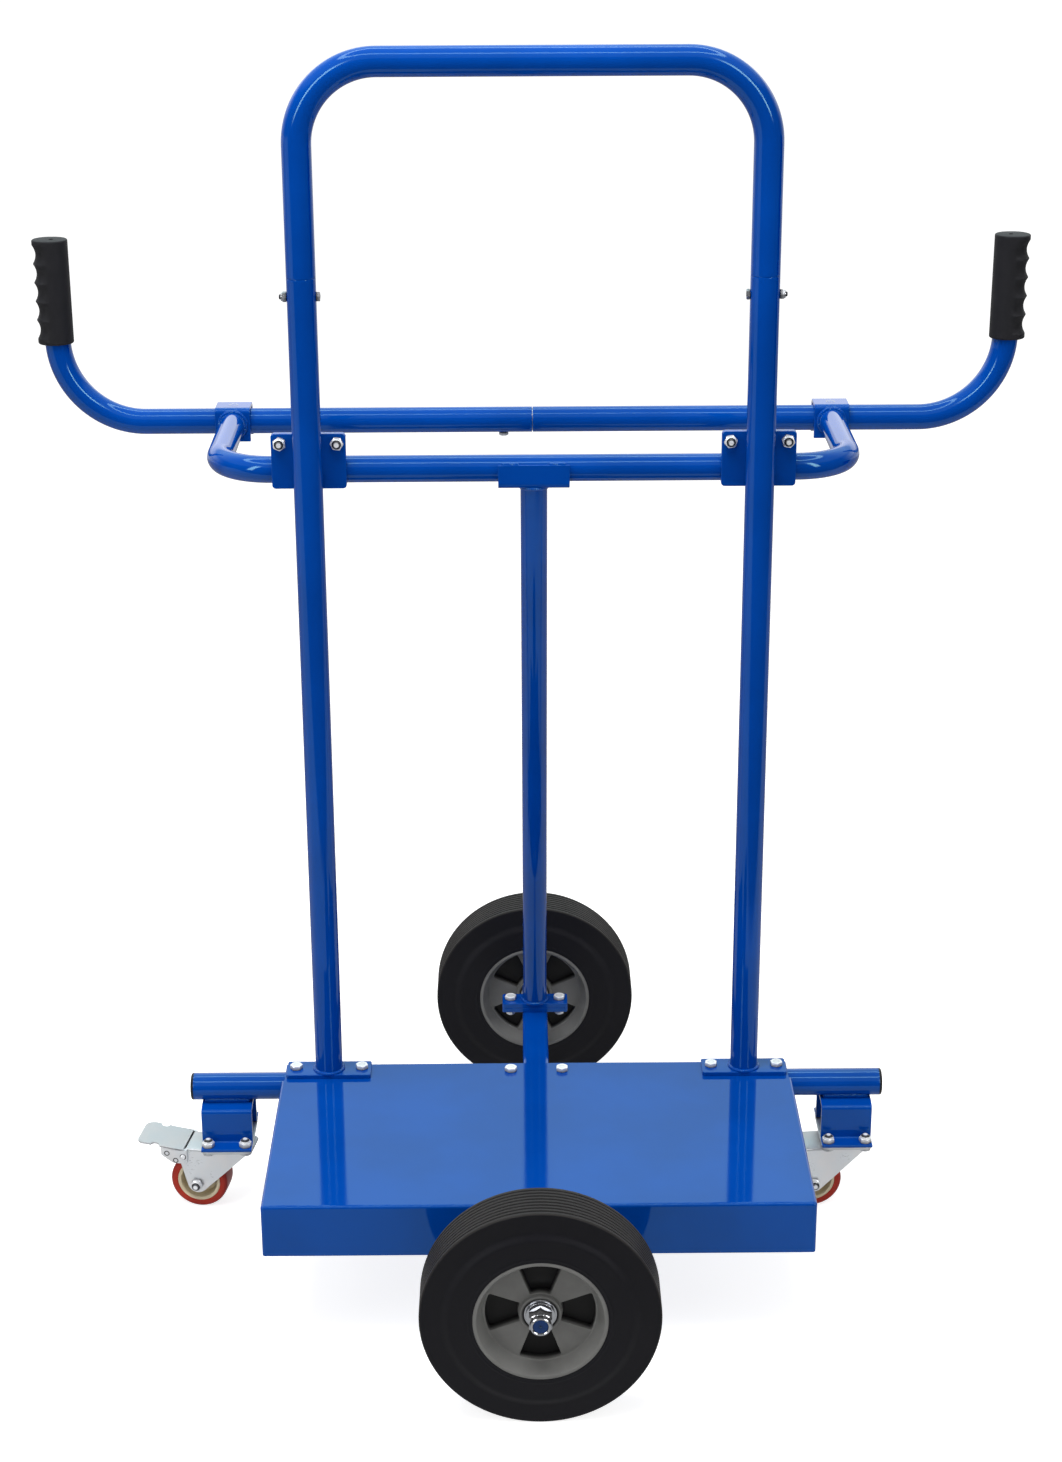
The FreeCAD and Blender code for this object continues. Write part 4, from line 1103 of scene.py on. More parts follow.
@dataclass
class RoadWheel:
    """A road wheel: solid tyre, moulded rim with four wedge pockets on each side, and bearings."""

    name: str
    mid_y: float
    rim_turn: float
    wheel_r: float = AXLE_Z
    half_w: float = 27.0
    shoulder_r: float = 2.5
    tread_fade: tuple = (1.9, 1.2)
    grooves: tuple = (3.0, 8.8, 14.6, 20.4)
    groove_half_w: float = 1.1
    groove_depth: float = 1.6
    swell_start: float = 106.0
    swell_run: float = 11.0
    rise: float = 3.4
    line_r: float = 75.2
    line_half_w: float = 1.1
    line_h: float = 0.4
    rim_r: float = 71.0
    lip_w: float = 4.0
    bowl_r: float = 59.5
    bowl_depth: float = 18.8
    boss_r: float = 22.0
    hub_half_w: float = 17.0
    bearing_r: float = 17.5
    bearing_w: float = 11.0
    bearing_bore: float = 8.1
    shield_r: tuple = (11.1, 14.6)
    shield_depth: float = 0.7
    panel_span: tuple = (30.0, 51.5)
    pocket_marks: tuple = (-0.45, -0.12, 0.25, 0.9)
    pocket_inner_r: float = 23.4
    pocket_outer_r: float = 58.2
    pocket_inner_half_w: float = 10.5
    pocket_outer_half_w: float = 22.4
    pocket_corner_r: float = 2.2
    pocket_floor: float = 3.2
    pocket_edge: tuple = (0.3, 0.9)
    # width of the painted shade ring on the rim round the bearing
    painted_shade_gap: float = 0.9

    @property
    def centre(self) -> Floats:
        """The wheel's middle."""
        return vec(0, self.mid_y, AXLE_Z)

    def tyre(self) -> Skin:
        """The tyre: half a section of radius against offset, mirrored, and turned about the axle.

        The tread is the wheel's radius less a flat-bottomed dip at each groove; the wall is a level
        that swells smoothly to a raised band by the rim, with a fine raised line by the bead.

        Returns:
            The tyre, with the tone 1 on its tread.
        """
        q = np.linspace(0, self.half_w - self.shoulder_r, 111)
        dips = np.exp(-(((q[:, None] - np.array(self.grooves)) / self.groove_half_w) ** 4)).sum(axis=1)
        tread = np.stack([self.wheel_r - self.groove_depth * dips, q], axis=1)
        t = quarter(12)[1:]
        core_r, core_q = self.wheel_r - self.shoulder_r, self.half_w - self.shoulder_r
        turn = np.stack([np.cos(t), np.sin(t)], axis=1)
        shoulder = (core_r, core_q) + self.shoulder_r * turn
        r = np.linspace(core_r, self.rim_r + 0.1, 110)[1:]
        wall = self.half_w + self.rise * ramp((self.swell_start - r) / self.swell_run)
        wall = wall + self.line_h * np.exp(-(((r - self.line_r) / self.line_half_w) ** 2))
        half = np.concatenate([tread, shoulder, np.stack([r, wall], axis=1)])
        profile = np.concatenate([half, (half * (1, -1))[:0:-1]])
        low, run = self.tread_fade
        above = profile[:, 0] - self.wheel_r
        inner = np.abs(profile[:, 1]) < core_q
        tone = np.clip(np.where(inner, above / self.groove_depth + 1, (above + low) / run), 0, 1)
        return lathe(profile, self.centre, Y_AXIS, 192, ring=True, tone=tone)

    def rim_profile(self) -> Floats:
        """Half of the rim's section as radius and offset: bore, boss, panel, sloped bowl, lip and rim."""
        half, hub = self.half_w + self.rise, self.hub_half_w
        panel = half - self.bowl_depth
        bore, boss, bowl, rim = self.bearing_r + FIT_GAP, self.boss_r, self.bowl_r, self.rim_r
        lip = rim - self.lip_w
        inner = [self.pocket_inner_r + m for m in self.pocket_marks]
        outer = [self.pocket_outer_r - m for m in self.pocket_marks[::-1]]
        ends = np.linspace(0, 3, 5)[1:]
        middle = np.linspace(*self.panel_span, 7)
        panel_r = [*inner, *(inner[-1] + ends), *middle, *(outer[0] - ends)[::-1], *outer]
        rows = [(bore, 0), (bore, hub - 0.8), (bore + 0.3, hub - 0.2), (bore + 0.8, hub)]
        rows += [(boss - 1.2, hub), (boss - 0.4, hub - 0.3), (boss, hub - 1.1)]
        rows += [(boss + 0.1, panel + 1.0), (boss + 0.5, panel + 0.25), (boss + 1.2, panel)]
        rows += [(r, panel) for r in panel_r]
        rows += [(bowl - 1.2, panel + 0.05), (bowl, panel + 0.5), (bowl + 1.0, panel + 1.8)]
        rows += [(lip - 1.0, half - 1.9), (lip - 0.4, half - 0.7), (lip + 0.2, half - 0.15)]
        rows += [(lip + 0.9, half), (rim - 0.8, half), (rim - 0.2, half - 0.25), (rim, half - 0.8), (rim, 0)]
        return np.array(rows)

    def pocket_half(self, r: Floats) -> Floats:
        """Half width of a pocket, which grows evenly with the radius."""
        share = np.clip((r - self.pocket_inner_r) / (self.pocket_outer_r - self.pocket_inner_r), 0, 1)
        return self.pocket_inner_half_w + share * (self.pocket_outer_half_w - self.pocket_inner_half_w)

    def pocket_columns(self, r: Floats) -> Floats:
        """Angles of a quarter's columns at each radius, so that columns run along the pockets' edges.

        A pocket is cut back by a quarter circle near its ends. Four columns follow each edge closely; the
        rest divide the pocket and the panel evenly.

        Args:
            r: Radius of each ring.

        Returns:
            Angles from the pocket's middle, by ring and column.
        """
        c = self.pocket_corner_r
        near = np.clip(np.minimum(r - self.pocket_inner_r, self.pocket_outer_r - r), 0, c)
        cut = c - np.sqrt(c * c - (c - near) ** 2)
        edge = np.arcsin(np.clip((self.pocket_half(r) - cut) / r, -0.6, 0.6))[:, None]
        marks = np.array(self.pocket_marks[::-1])[None, :] / r[:, None]
        inside = np.linspace(0, 1, 7)[None, 1:-1] * (edge - marks[:, :1])
        beyond = edge - marks[:, -1:]
        panel = beyond + np.linspace(0, 1, 9)[None, 1:] * (QUARTER / 2 - beyond)
        right = np.concatenate([inside, edge - marks, panel], axis=1)
        return np.concatenate([-right[:, -2::-1], np.zeros((len(r), 1)), right], axis=1)

    def rim_half(self) -> Skin:
        """One half of the rim: rings of the section, sunk inside each pocket's rounded wedge.

        The depth of a point inside a pocket is c - |(c - dr, c - dx)| for its distances dr and dx from the
        pocket's ends and sides and the corner radius c; the surface sinks over the first millimetre.

        Returns:
            The half on the side of -Y about the origin, with the tone 1 in its pockets, and round its bearing
            as painted shade in the gap.
        """
        profile = self.rim_profile()
        r, q = profile[:, 0], profile[:, 1]
        columns = self.pocket_columns(r)
        angles = np.concatenate([columns + i * QUARTER for i in range(4)], axis=1) + self.rim_turn
        ends = np.minimum(r - self.pocket_inner_r, self.pocket_outer_r - r)[:, None]
        sides = self.pocket_half(r)[:, None] - r[:, None] * np.sin(np.abs(columns))
        c = self.pocket_corner_r
        deep = c - np.hypot(np.maximum(c - ends, 0), np.maximum(c - sides, 0))
        out, run = self.pocket_edge
        sunk = np.tile(ramp((deep + out) / run), 4)
        level = self.half_w + self.rise - self.bowl_depth
        on_panel = np.abs(q - level)[:, None] < 0.01
        heights = np.where(on_panel, q[:, None] - (level - self.pocket_floor) * sunk, q[:, None])
        # painted shade: a near-black ring on the rim where it meets the bearing
        gap = (r < self.bearing_r + self.painted_shade_gap)[:, None]
        tone = np.where(on_panel, np.clip(sunk * 1.6 - 0.2, 0, 1), 1.0 * gap)
        return polar(r[:, None], heights, angles, np.zeros(3), -Y_AXIS, ring=True, tone=tone)

    def bearing(self, end: int) -> Skin:
        """A steel bearing in one end of the hub: outer ring, sunk shield and inner ring."""
        h, r, bore = self.hub_half_w, self.bearing_r, self.bearing_bore
        low, shield, (inner, outer) = h - self.bearing_w, h - self.shield_depth, self.shield_r
        rows = [(bore, low), (r, low), (r, h - 0.4), (r - 0.4, h), (outer, h), (outer - 0.3, shield)]
        rows += [(inner + 0.3, shield), (inner, h), (bore + 0.3, h), (bore, h - 0.3)]
        return lathe(rows, self.centre, Y_AXIS * end, 56, ring=True)

    def build(self, bench: Bench) -> None:
        """Fits the wheel's tyre, rim and bearings."""
        name, body = self.name, self.name + "_wheel"
        near = self.rim_half()
        rims = [near.moved(np.diag((1.0, s, 1.0)), self.centre) for s in (1.0, -1.0)]
        bench.fit(name + "_solid_tyre", [self.tyre()], Slot.TYRE, [name + "_tyre"], body=body)
        nodes = [name + "_rim_shells", name + "_rim_core"]
        bench.fit(name + "_moulded_rim", rims, Slot.RIM, nodes, body=body)
        bearings = [self.bearing(end) for end in ENDS]
        bench.fit(name + "_bearings", bearings, Slot.ZINC, [name + "_hub_bearings"], Steel.HUB, body)


# Axle and spine


@dataclass
class AxleAndSpine:
    """The square spine tube, and the axle in it with washers and collared lock nuts at its ends."""

    axle_r: float = 8.0
    spine_w: float = 32.0
    spine_corner: float = 4.0
    spine_end: float = 349.7
    washer_r: float = 15.5
    washer_t: float = 3.0
    outer_washer: float = 387.3
    nut_seat: float = 390.3
    nut_af: float = 24.0
    nut_h: float = 14.0
    face_share: float = 0.95
    shaft_edge: float = 0.8
    collar_r: float = 11.25
    collar_h: float = 6.0
    tip_inset: float = 1.0

    def spine(self) -> Skin:
        """The square tube: a rounded square pushed along the axle."""
        outline = rounded_outline(rectangle(self.spine_w, self.spine_w), self.spine_corner, 8)
        tube = extrude(outline, Plane.FACING, -self.spine_end, self.spine_end, (0.5, 0.5))
        return tube.shifted(0, 0, AXLE_Z)

    def washer(self, end: int, start: float) -> Skin:
        """A washer on the axle from a distance along it."""
        place = vec(0, end * start, AXLE_Z)
        return disc(self.washer_r, 0, self.washer_t, place, Y_AXIS * end, 0.5, self.axle_r + FIT_GAP)

    def nut(self, end: int) -> Skin:
        """A lock nut: a hexagon cut by cones, and a round collar with a rolled rim."""
        a = around(60)
        corner = hexagon(self.nut_af, a)
        face_r = self.face_share * self.nut_af / 2
        cone = (corner - face_r) * CONE_SLOPE
        bore, c, h = self.axle_r + FIT_GAP, self.collar_r, self.nut_h
        top = h + self.collar_h
        rows = [(bore, 0), (face_r, 0), (corner, cone), (corner, h - cone), (face_r, h), (c + 0.25, h + 0.1)]
        rows += [(c, h + 0.5), (c, top - 1.5), (c - 0.4, top - 0.5), (c - 1.2, top)]
        rows += [(bore + 1.1, top), (bore + 0.3, top - 0.5), (bore, top - 1.2)]
        place = vec(0, end * self.nut_seat, AXLE_Z)
        return ringed([(*row, 0) for row in rows], a, place, Y_AXIS * end, ring=True)

    def shaft(self) -> Skin:
        """The axle: a round bar with rounded ends, toned darker, and a small drilled centre at each end in
        painted shade.
        """
        tip = self.nut_seat + self.nut_h + self.collar_h - self.tip_inset
        drop, back = rim_steps(self.shaft_edge)
        rim = np.stack([self.axle_r - drop, tip - back], axis=1)
        centre = np.array([[0, tip - 1.8], [1.5, tip - 0.6], [1.6, tip]])
        half = np.concatenate([centre, rim])
        profile = np.concatenate([half, (half * (1, -1))[::-1]])
        # tone 0.8 over the shaft; the drilled centre goes to 1, painted shade in the hole
        tone = np.concatenate([[1, 1, 0.9], np.full(2 * len(rim), 0.8), [0.9, 1, 1]])
        return lathe(profile, vec(0, 0, AXLE_Z), Y_AXIS, 48, tone=tone)

    def build(self, bench: Bench) -> None:
        """Fits the spine, the axle and what holds the wheels on it."""
        bench.fit("square_spine", [self.spine()], Slot.BLUE, ["spine_tube"])
        bench.fit("round_axle", [self.shaft()], Slot.BLUE, ["axle_shaft"])
        washers = [self.washer(e, s) for e in ENDS for s in (self.spine_end, self.outer_washer)]
        bench.fit("wheel_washers", washers, Slot.ZINC, ["axle_washers"], Steel.HUB)
        bench.fit("collar_lock_nuts", [self.nut(e) for e in ENDS], Slot.ZINC, ["axle_nuts"], Steel.HUB)


# Deck


@dataclass
class Deck:
    """The folded tray, the round cross tube under its rear strip, the tube's caps and its bolts."""

    half_w: float = 302.5
    front_y: float = -253.0
    side_rear_y: float = 30.0
    rear_y: float = 70.0
    top_z: float = DECK_TOP
    sheet: float = 2.0
    flange: float = 62.0
    bend_r: float = 3.5
    notch_half: float = 16.1
    notch_top: float = 143.1
    edge: float = 0.3
    support: float = 0.5
    cross_z: float = 159.1
    cross_r: float = 16.0
    cross_half: float = 409.0
    cap_t: float = 3.0
    cap_edge: float = 2.4
    cap_flat_r: float = 5.0
    foot_bolt_span: float = 39.0
    deck_bolt_span: float = 30.5

    def section(self, low: Floats) -> tuple[Floats, Floats]:
        """The flange's section, from the top's edge over the bend, down outside, and back up inside.

        Args:
            low: Height of the flange's lower edge at each place along it.

        Returns:
            Insets from the outside, and heights by place.
        """
        r, s, e = self.bend_r, self.sheet, self.edge
        inset_out, depth_out = rim_steps(r, 6)
        inset_in, depth_in = (steps[::-1] + s for steps in rim_steps(r - s, 6))
        insets = np.concatenate([inset_out, [0, 0, e, s - e, s, s], inset_in])
        high = np.full(len(low), self.top_z - r - self.support)
        walls = np.stack([high, low + e, low, low, low + e, high], axis=1)
        bends = [np.tile(self.top_z - depth, (len(low), 1)) for depth in (depth_out, depth_in)]
        return insets, np.concatenate([bends[0], walls, bends[1]], axis=1)

    def tray(self) -> Skin:
        """The tray: a flange's section carried round three sides, and the sheet between.

        A place of the path is a point on the line inset by the bend radius, with an outward direction; at
        a corner the direction turns about that point. The section's point of inset i lies (r - i) outwards.

        Returns:
            The tray, whose surfaces meet edge to edge.
        """
        x, f, r = self.half_w - self.bend_r, self.front_y + self.bend_r, self.bend_r
        low = self.top_z - self.flange
        a = quarter(8)
        n, d = self.notch_half, self.support
        left = [(-x, self.side_rear_y), (-x, f + d)]
        front = [(d - x, f), (-n, f), (-n, f), (n, f), (n, f), (x - d, f)]
        right = [(x, f + d), (x, self.side_rear_y)]
        spots = np.array(left + [(-x, f)] * 8 + front + [(x, f)] * 8 + right)
        turn = np.stack([-np.cos(a), -np.sin(a)], axis=1)
        back = turn[::-1] * (-1, 1)
        facing = np.concatenate([[(-1, 0)] * 2, turn, [(0, -1)] * 6, back, [(1, 0)] * 2])
        lows = np.full(len(spots), low)
        lows[12:14] = self.notch_top
        insets, heights = self.section(lows)
        plan = spots[:, None, :] + (r - insets)[None, :, None] * facing[:, None, :]
        skirt = grid(np.concatenate([plan, heights[..., None]], axis=2))
        count = len(insets)
        skirt.caps = [np.arange(count)[::-1], np.arange(count) + count * (len(spots) - 1)]
        y0, y1, under = self.side_rear_y, self.rear_y, self.top_z - self.sheet
        flat = np.array([(-x, f), (x, f), (x, y0), (x, y1), (-x, y1), (-x, y0)])
        points = np.concatenate([np.column_stack([flat, np.full(6, z)]) for z in (self.top_z, under)])
        caps = [np.arange(6), np.arange(6, 12)[::-1]]
        rims = np.array([(3, 2, 8, 9), (4, 3, 9, 10), (5, 4, 10, 11)])
        return joined([skirt, Skin(points, rims, caps)]).closed()

    def cross_tube(self) -> Skin:
        """The round tube under the deck's rear strip."""
        start = vec(-self.cross_half, MAST_Y, self.cross_z)
        return bar(Path.straight(start, start * (-1, 1, 1)), self.cross_r)

    def cap(self, side: Side) -> Skin:
        """A cap's flange on the tube's end, with a well rounded rim."""
        inset, depth = rim_steps(self.cap_edge, 6)
        r, t = self.cross_r, self.cap_t
        dome = np.stack([r - depth, t - inset], axis=1)
        profile = np.concatenate([[(0, -0.2), (r, -0.2)], dome, [(self.cap_flat_r, t), (0, t)]])
        place = vec(side.value * self.cross_half, MAST_Y, self.cross_z)
        return lathe(profile, place, X_AXIS * side.value, 56)

    def bolt_seats(self) -> list[Floats]:
        """Seats of the six bolts along the cross tube."""
        middle = [vec(s * self.deck_bolt_span, MAST_Y, self.top_z) for s in ENDS]
        feet = [s * MAST_X + e * self.foot_bolt_span for s in ENDS for e in ENDS]
        return middle + [vec(x, MAST_Y, self.top_z + FOOT_T) for x in feet]

    def build(self, bench: Bench) -> None:
        """Fits the tray, the cross tube, its caps and its bolts."""
        bench.fit("folded_tray", [self.tray()], Slot.BLUE, ["deck_tray"])
        bench.fit("round_cross_tube", [self.cross_tube()], Slot.BLUE, ["cross_tube"])
        bench.fit("tube_end_caps", [self.cap(side) for side in Side], Slot.CAP, ["cross_tube_caps"])
        low = self.cross_z - self.cross_r
        turns = (0.2, 0.5, 0.1, 0.8, 0.35, 0.65)
        seats = [(p, Z_AXIS, p[2] - low, turn) for p, turn in zip(self.bolt_seats(), turns)]
        bench.bolt("deck_bolts", "cross_tube_bolts", M8, seats)


# Mast


@dataclass
class Mast:
    """Two uprights on welded foot plates, and the bent hoop that plugs into them."""

    foot_l: float = 100.0
    foot_w: float = 35.0
    foot_corner: float = 3.0
    length: float = 946.5
    hoop_rise: float = 223.5
    bend_r: float = 85.0
    joint_groove: float = 0.5
    bolt_drop: float = 20.5

    @property
    def joint_z(self) -> float:
        """Height of the joints between uprights and hoop."""
        return DECK_TOP + FOOT_T + self.length

    def upright(self, side: Side) -> Skin:
        """An upright tube."""
        x = side.value * MAST_X
        foot = vec(x, MAST_Y, DECK_TOP + FOOT_T)
        return bar(Path.straight(foot, vec(x, MAST_Y, self.joint_z)), MAST_R, self.joint_groove)

    def hoop(self) -> Skin:
        """The hoop: a round tube up, across and down."""
        top = self.joint_z + self.hoop_rise
        left = [vec(-MAST_X, MAST_Y, self.joint_z), vec(-MAST_X, MAST_Y, top)]
        right = [p * (-1, 1, 1) for p in left[::-1]]
        return bar(Path.bent(left + right, self.bend_r, 24), MAST_R, self.joint_groove)

    def foot(self, side: Side) -> Skin:
        """A foot plate on the deck."""
        skin = plate(self.foot_l, self.foot_w, FOOT_T, self.foot_corner, Plane.LEVEL)
        return skin.shifted(side.value * MAST_X, MAST_Y, DECK_TOP)

    def foot_bead(self, side: Side) -> Skin:
        """The weld between an upright and its foot plate."""
        centre = vec(side.value * MAST_X, MAST_Y, DECK_TOP + FOOT_T + BEAD_OFF_PLATE)
        r = MAST_R + BEAD_OFF_TUBE
        return ring_bead(centre, X_AXIS * r, Y_AXIS * r)

    def build(self, bench: Bench) -> None:
        """Fits the uprights, their feet and welds, the hoop and its bolts."""
        for side in Side:
            bench.fit(side.word + "_mast_tube", [self.upright(side)], Slot.BLUE, [side.word + "_upright"])
        bench.fit("bent_hoop", [self.hoop()], Slot.BLUE, ["top_hoop"])
        bench.fit("mast_feet", [self.foot(s) for s in Side], Slot.BLUE, ["upright_foot_plates"])
        bench.fit("mast_foot_welds", [self.foot_bead(s) for s in Side], Slot.BLUE)
        bolts, nuts = [], []
        for side in Side:
            middle = vec(side.value * MAST_X, MAST_Y, self.joint_z - self.bolt_drop)
            out = X_AXIS * side.value
            bolts.append(M6.bolt(middle - out * MAST_R, -out, 2 * MAST_R, 0.3))
            nuts.append(M6.lock_nut(middle + out * MAST_R, out, 0.4))
        bench.fit("hoop_joint_bolts", bolts, Slot.ZINC, ["hoop_bolts"], Steel.HUB)
        bench.fit("hoop_joint_nuts", nuts, Slot.ZINC, ["hoop_nuts"], Steel.HUB)


# Guard rail


@dataclass
class GuardRail:
    """The bent rail, bolted to the uprights by pairs of welded plates."""

    arm_end_y: float = 290.7
    bend_r: float = 62.0
    plate_w: float = 82.0
    plate_h: float = 62.0
    plate_t: float = 4.0
    plate_corner: float = 4.0
    plate_rise: float = 46.0
    mast_plate_y: float = 68.1
    rail_plate_y: float = 72.1
    bolt_span: float = 31.5
    bolt_from_top: float = 10.5
    weld_span: float = 10.5
    weld_half: float = 36.0
    weld_inset: float = 4.0
    weld_rise: float = 1.6

    def rail(self) -> Skin:
        """The rail: back along one arm, across the front and back along the other."""
        left = [vec(-ARM_X, self.arm_end_y, RAIL_Z), vec(-ARM_X, RAIL_Y, RAIL_Z)]
        right = [p * (-1, 1, 1) for p in left[::-1]]
        return bar(Path.bent(left + right, self.bend_r, 22), RAIL_R)

    def plate_at(self, side: Side, start_y: float) -> Skin:
        """One plate of a pair, upright across the dolly."""
        skin = plate(self.plate_w, self.plate_h, self.plate_t, self.plate_corner, Plane.FACING)
        return skin.shifted(side.value * MAST_X, start_y, RAIL_Z + self.plate_rise - self.plate_h / 2)

    def welds(self) -> list[Skin]:
        """Beads between uprights and their plates, and between the rail and its plates."""
        beads = []
        low = RAIL_Z + self.plate_rise - self.plate_h + self.weld_inset
        high = RAIL_Z + self.plate_rise - self.weld_inset
        front = self.mast_plate_y - self.weld_rise
        rear = self.rail_plate_y + self.plate_t + self.weld_rise
        for side in Side:
            middle = side.value * MAST_X
            for step in (-self.weld_span, self.weld_span):
                beads.append(line_bead(vec(middle + step, front, low), vec(middle + step, front, high)))
                start = vec(middle - self.weld_half, rear, RAIL_Z + step)
                beads.append(line_bead(start, start + X_AXIS * (2 * self.weld_half)))
        return beads

    def build(self, bench: Bench) -> None:
        """Fits the rail, its plates, welds, bolts and nuts."""
        bench.fit("bent_rail", [self.rail()], Slot.BLUE, ["guard_rail"])
        fixed = [self.plate_at(s, self.mast_plate_y) for s in Side]
        bench.fit("mast_lug_plates", fixed, Slot.BLUE, ["upright_plates"])
        loose = [self.plate_at(s, self.rail_plate_y) for s in Side]
        bench.fit("rail_lug_plates", loose, Slot.BLUE, ["rail_plates"])
        bench.fit("rail_welds", self.welds(), Slot.BLUE)
        z = RAIL_Z + self.plate_rise - self.bolt_from_top
        rear = self.rail_plate_y + self.plate_t
        spots = [vec(s.value * MAST_X + d * self.bolt_span, rear, z) for s in Side for d in ENDS]
        turns = (0.1, 0.45, 0.7, 0.3)
        seats = [(p, Y_AXIS, 2 * self.plate_t, turn) for p, turn in zip(spots, turns)]
        bench.bolt("rail_lug_bolts", "rail_bolts", M8, seats)


# Handle


@dataclass
class Handle:
    """The handle in two halves, the saddles that hold it to the rail's arms, and its rubber grips."""

    y: float = 310.0
    x: float = 555.0
    top_z: float = 1118.0
    bend_r: float = 98.0
    joint_gap: float = 0.6
    joint_screw_x: float = -34.0
    saddle_len: float = 41.0
    saddle_half: float = 19.3
    saddle_t: float = 4.0
    saddle_low: float = 887.5
    saddle_top: float = 927.3
    bead_off_arm: float = 0.4
    socket_af: float = 4.0
    grip_top: float = 1124.0
    grip_len: float = 121.0
    grip_r: float = 18.7
    grip_swell: float = 4.0
    finger_count: int = 5
    finger_depth: float = 3.6
    lip: float = 6.0
    grip_edge: float = 1.6
    vent_r: float = 2.5
    vent_depth: float = 5.0

    def half(self, side: Side) -> Skin:
        """Half of the handle, from the middle out and bent up into its grip."""
        s = side.value
        corners = [
            vec(s * self.joint_gap / 2, self.y, RAIL_Z),
            vec(s * self.x, self.y, RAIL_Z),
            vec(s * self.x, self.y, self.top_z),
        ]
        return bar(Path.bent(corners, self.bend_r, 28), RAIL_R)

    def saddle(self, side: Side) -> Skin:
        """A saddle: an inverted channel with rounded folds, pushed along the bar."""
        o, i = self.saddle_half, self.saddle_half - self.saddle_t
        low, top, under = self.saddle_low, self.saddle_top, self.saddle_top - self.saddle_t
        corners = [(-o, low), (-i, low), (-i, under), (i, under), (i, low), (o, low), (o, top), (-o, top)]
        outline = rounded_outline(np.array(corners), [0.8, 0.8, 2.0, 2.0, 0.8, 0.8, 5.5, 5.5])
        start = side.value * ARM_X - self.saddle_len / 2
        skin = extrude(outline, Plane.ACROSS, start, start + self.saddle_len)
        return skin.shifted(0, self.y, 0)

    def saddle_screw(self, side: Side) -> Skin:
        """A set screw in a saddle's top, darker all over, with painted shade in its hexagon socket."""
        a = around(48)
        socket = hexagon(self.socket_af, a)
        # darker tones all over; the socket's tone up to 1 is painted shade in the hole
        rows = [(0, -3, 0.6), (4.4, -3, 0.6), (5.4, -0.1, 0.6), (5.2, 0.1, 0.5), (3.6, -0.5, 0.8)]
        rows += [(socket, -0.6, 0.9), (socket, -2.6, 1), (0, -2.8, 1)]
        return ringed(rows, a, vec(side.value * ARM_X, self.y, self.saddle_top + 0.15), Z_AXIS)

    def arm_bead(self, side: Side) -> Skin:
        """The weld between an arm of the rail and its saddle."""
        r = RAIL_R + self.bead_off_arm
        centre = vec(side.value * ARM_X, self.y - self.saddle_half - BEAD_OFF_PLATE, RAIL_Z)
        return ring_bead(centre, X_AXIS * r, Z_AXIS * r)

    def joint_screw(self) -> Skin:
        """The screw up into the joint's sleeve, head down."""
        seat = vec(self.joint_screw_x, self.y, RAIL_Z - RAIL_R)
        return joined([M6.head(seat, -Z_AXIS, 0.2), disc(3.0, 0, 6.0, seat, Z_AXIS, 0.3, count=28)])

    def grip(self, side: Side) -> Skin:
        """A grip: rings of radius R(angle, height) about the bar, from the vent to inside its sleeve.

        R is the larger of a circle and of one shifted outwards by the swell, less the finger hollows. A
        hollow is a circular arc of height, once per finger, times a step that fades it at the flanks.

        Args:
            side: Which handle it is on.

        Returns:
            The closed surface, with the tone 1 in the vent as painted shade in the hole.
        """
        a = around(96)
        top, low, rim = self.grip_top, self.grip_top - self.grip_len, self.grip_edge
        r, e = self.grip_r, self.grip_swell
        shifted = e * np.cos(a) + np.sqrt(r * r - (e * np.sin(a)) ** 2)
        body = np.where(np.cos(a) > 0, np.maximum(r, shifted), r)
        z = np.linspace(top - rim, low + rim, 121)[:, None]
        pitch = (self.grip_len - 2 * self.lip) / self.finger_count
        run = (top - self.lip - z) / pitch
        within = (run > 0) & (run < self.finger_count)
        hollow = np.where(within, 1 - (2 * np.mod(run, 1.0) - 1) ** 2, 0.0)
        radii = body - self.finger_depth * hollow * ramp((np.cos(a) - 0.1) / 0.55)
        steps = list(zip(*rim_steps(rim)))[:-1]
        vent, deep = self.vent_r, top - self.vent_depth
        bore, end = RAIL_R + 0.1, self.top_z + 0.1
        # painted shade in the vent: tone 1 at its floor and 0.9 on its wall
        rows = [(0, deep, 1), (vent, deep, 1), (vent, top - 0.6, 0.9), (vent + 0.6, top, 0)]
        rows += [(body - inset, top - depth, 0) for inset, depth in steps] + [(radii, z, 0)]
        rows += [(body - inset, low + depth, 0) for inset, depth in steps[::-1]]
        rows += [(bore, low, 0), (bore, end, 0), (0, end, 0)]
        skin = ringed(rows, a, vec(self.x, self.y, 0), Z_AXIS)
        return skin if side is Side.RIGHT else skin.mirrored()

    def build(self, bench: Bench) -> None:
        """Fits the handle's halves, saddles, screws and grips."""
        for side in Side:
            w = side.word
            bench.fit(w + "_handle_tube", [self.half(side)], Slot.BLUE, [w + "_handle_bar"])
            bench.fit(w + "_finger_grip", [self.grip(side)], Slot.GRIP, [w + "_grip"])
        bench.fit("arm_saddles", [self.saddle(s) for s in Side], Slot.BLUE, ["handle_saddles"])
        bench.fit("arm_welds", [self.arm_bead(s) for s in Side], Slot.BLUE)
        screws = [self.saddle_screw(s) for s in Side]
        bench.fit("socket_screws", screws, Slot.ZINC, ["saddle_screws"], Steel.SCREW)
        bench.fit("joint_hex_screw", [self.joint_screw()], Slot.ZINC, ["handle_joint_screw"], Steel.SCREW)


# Rear post


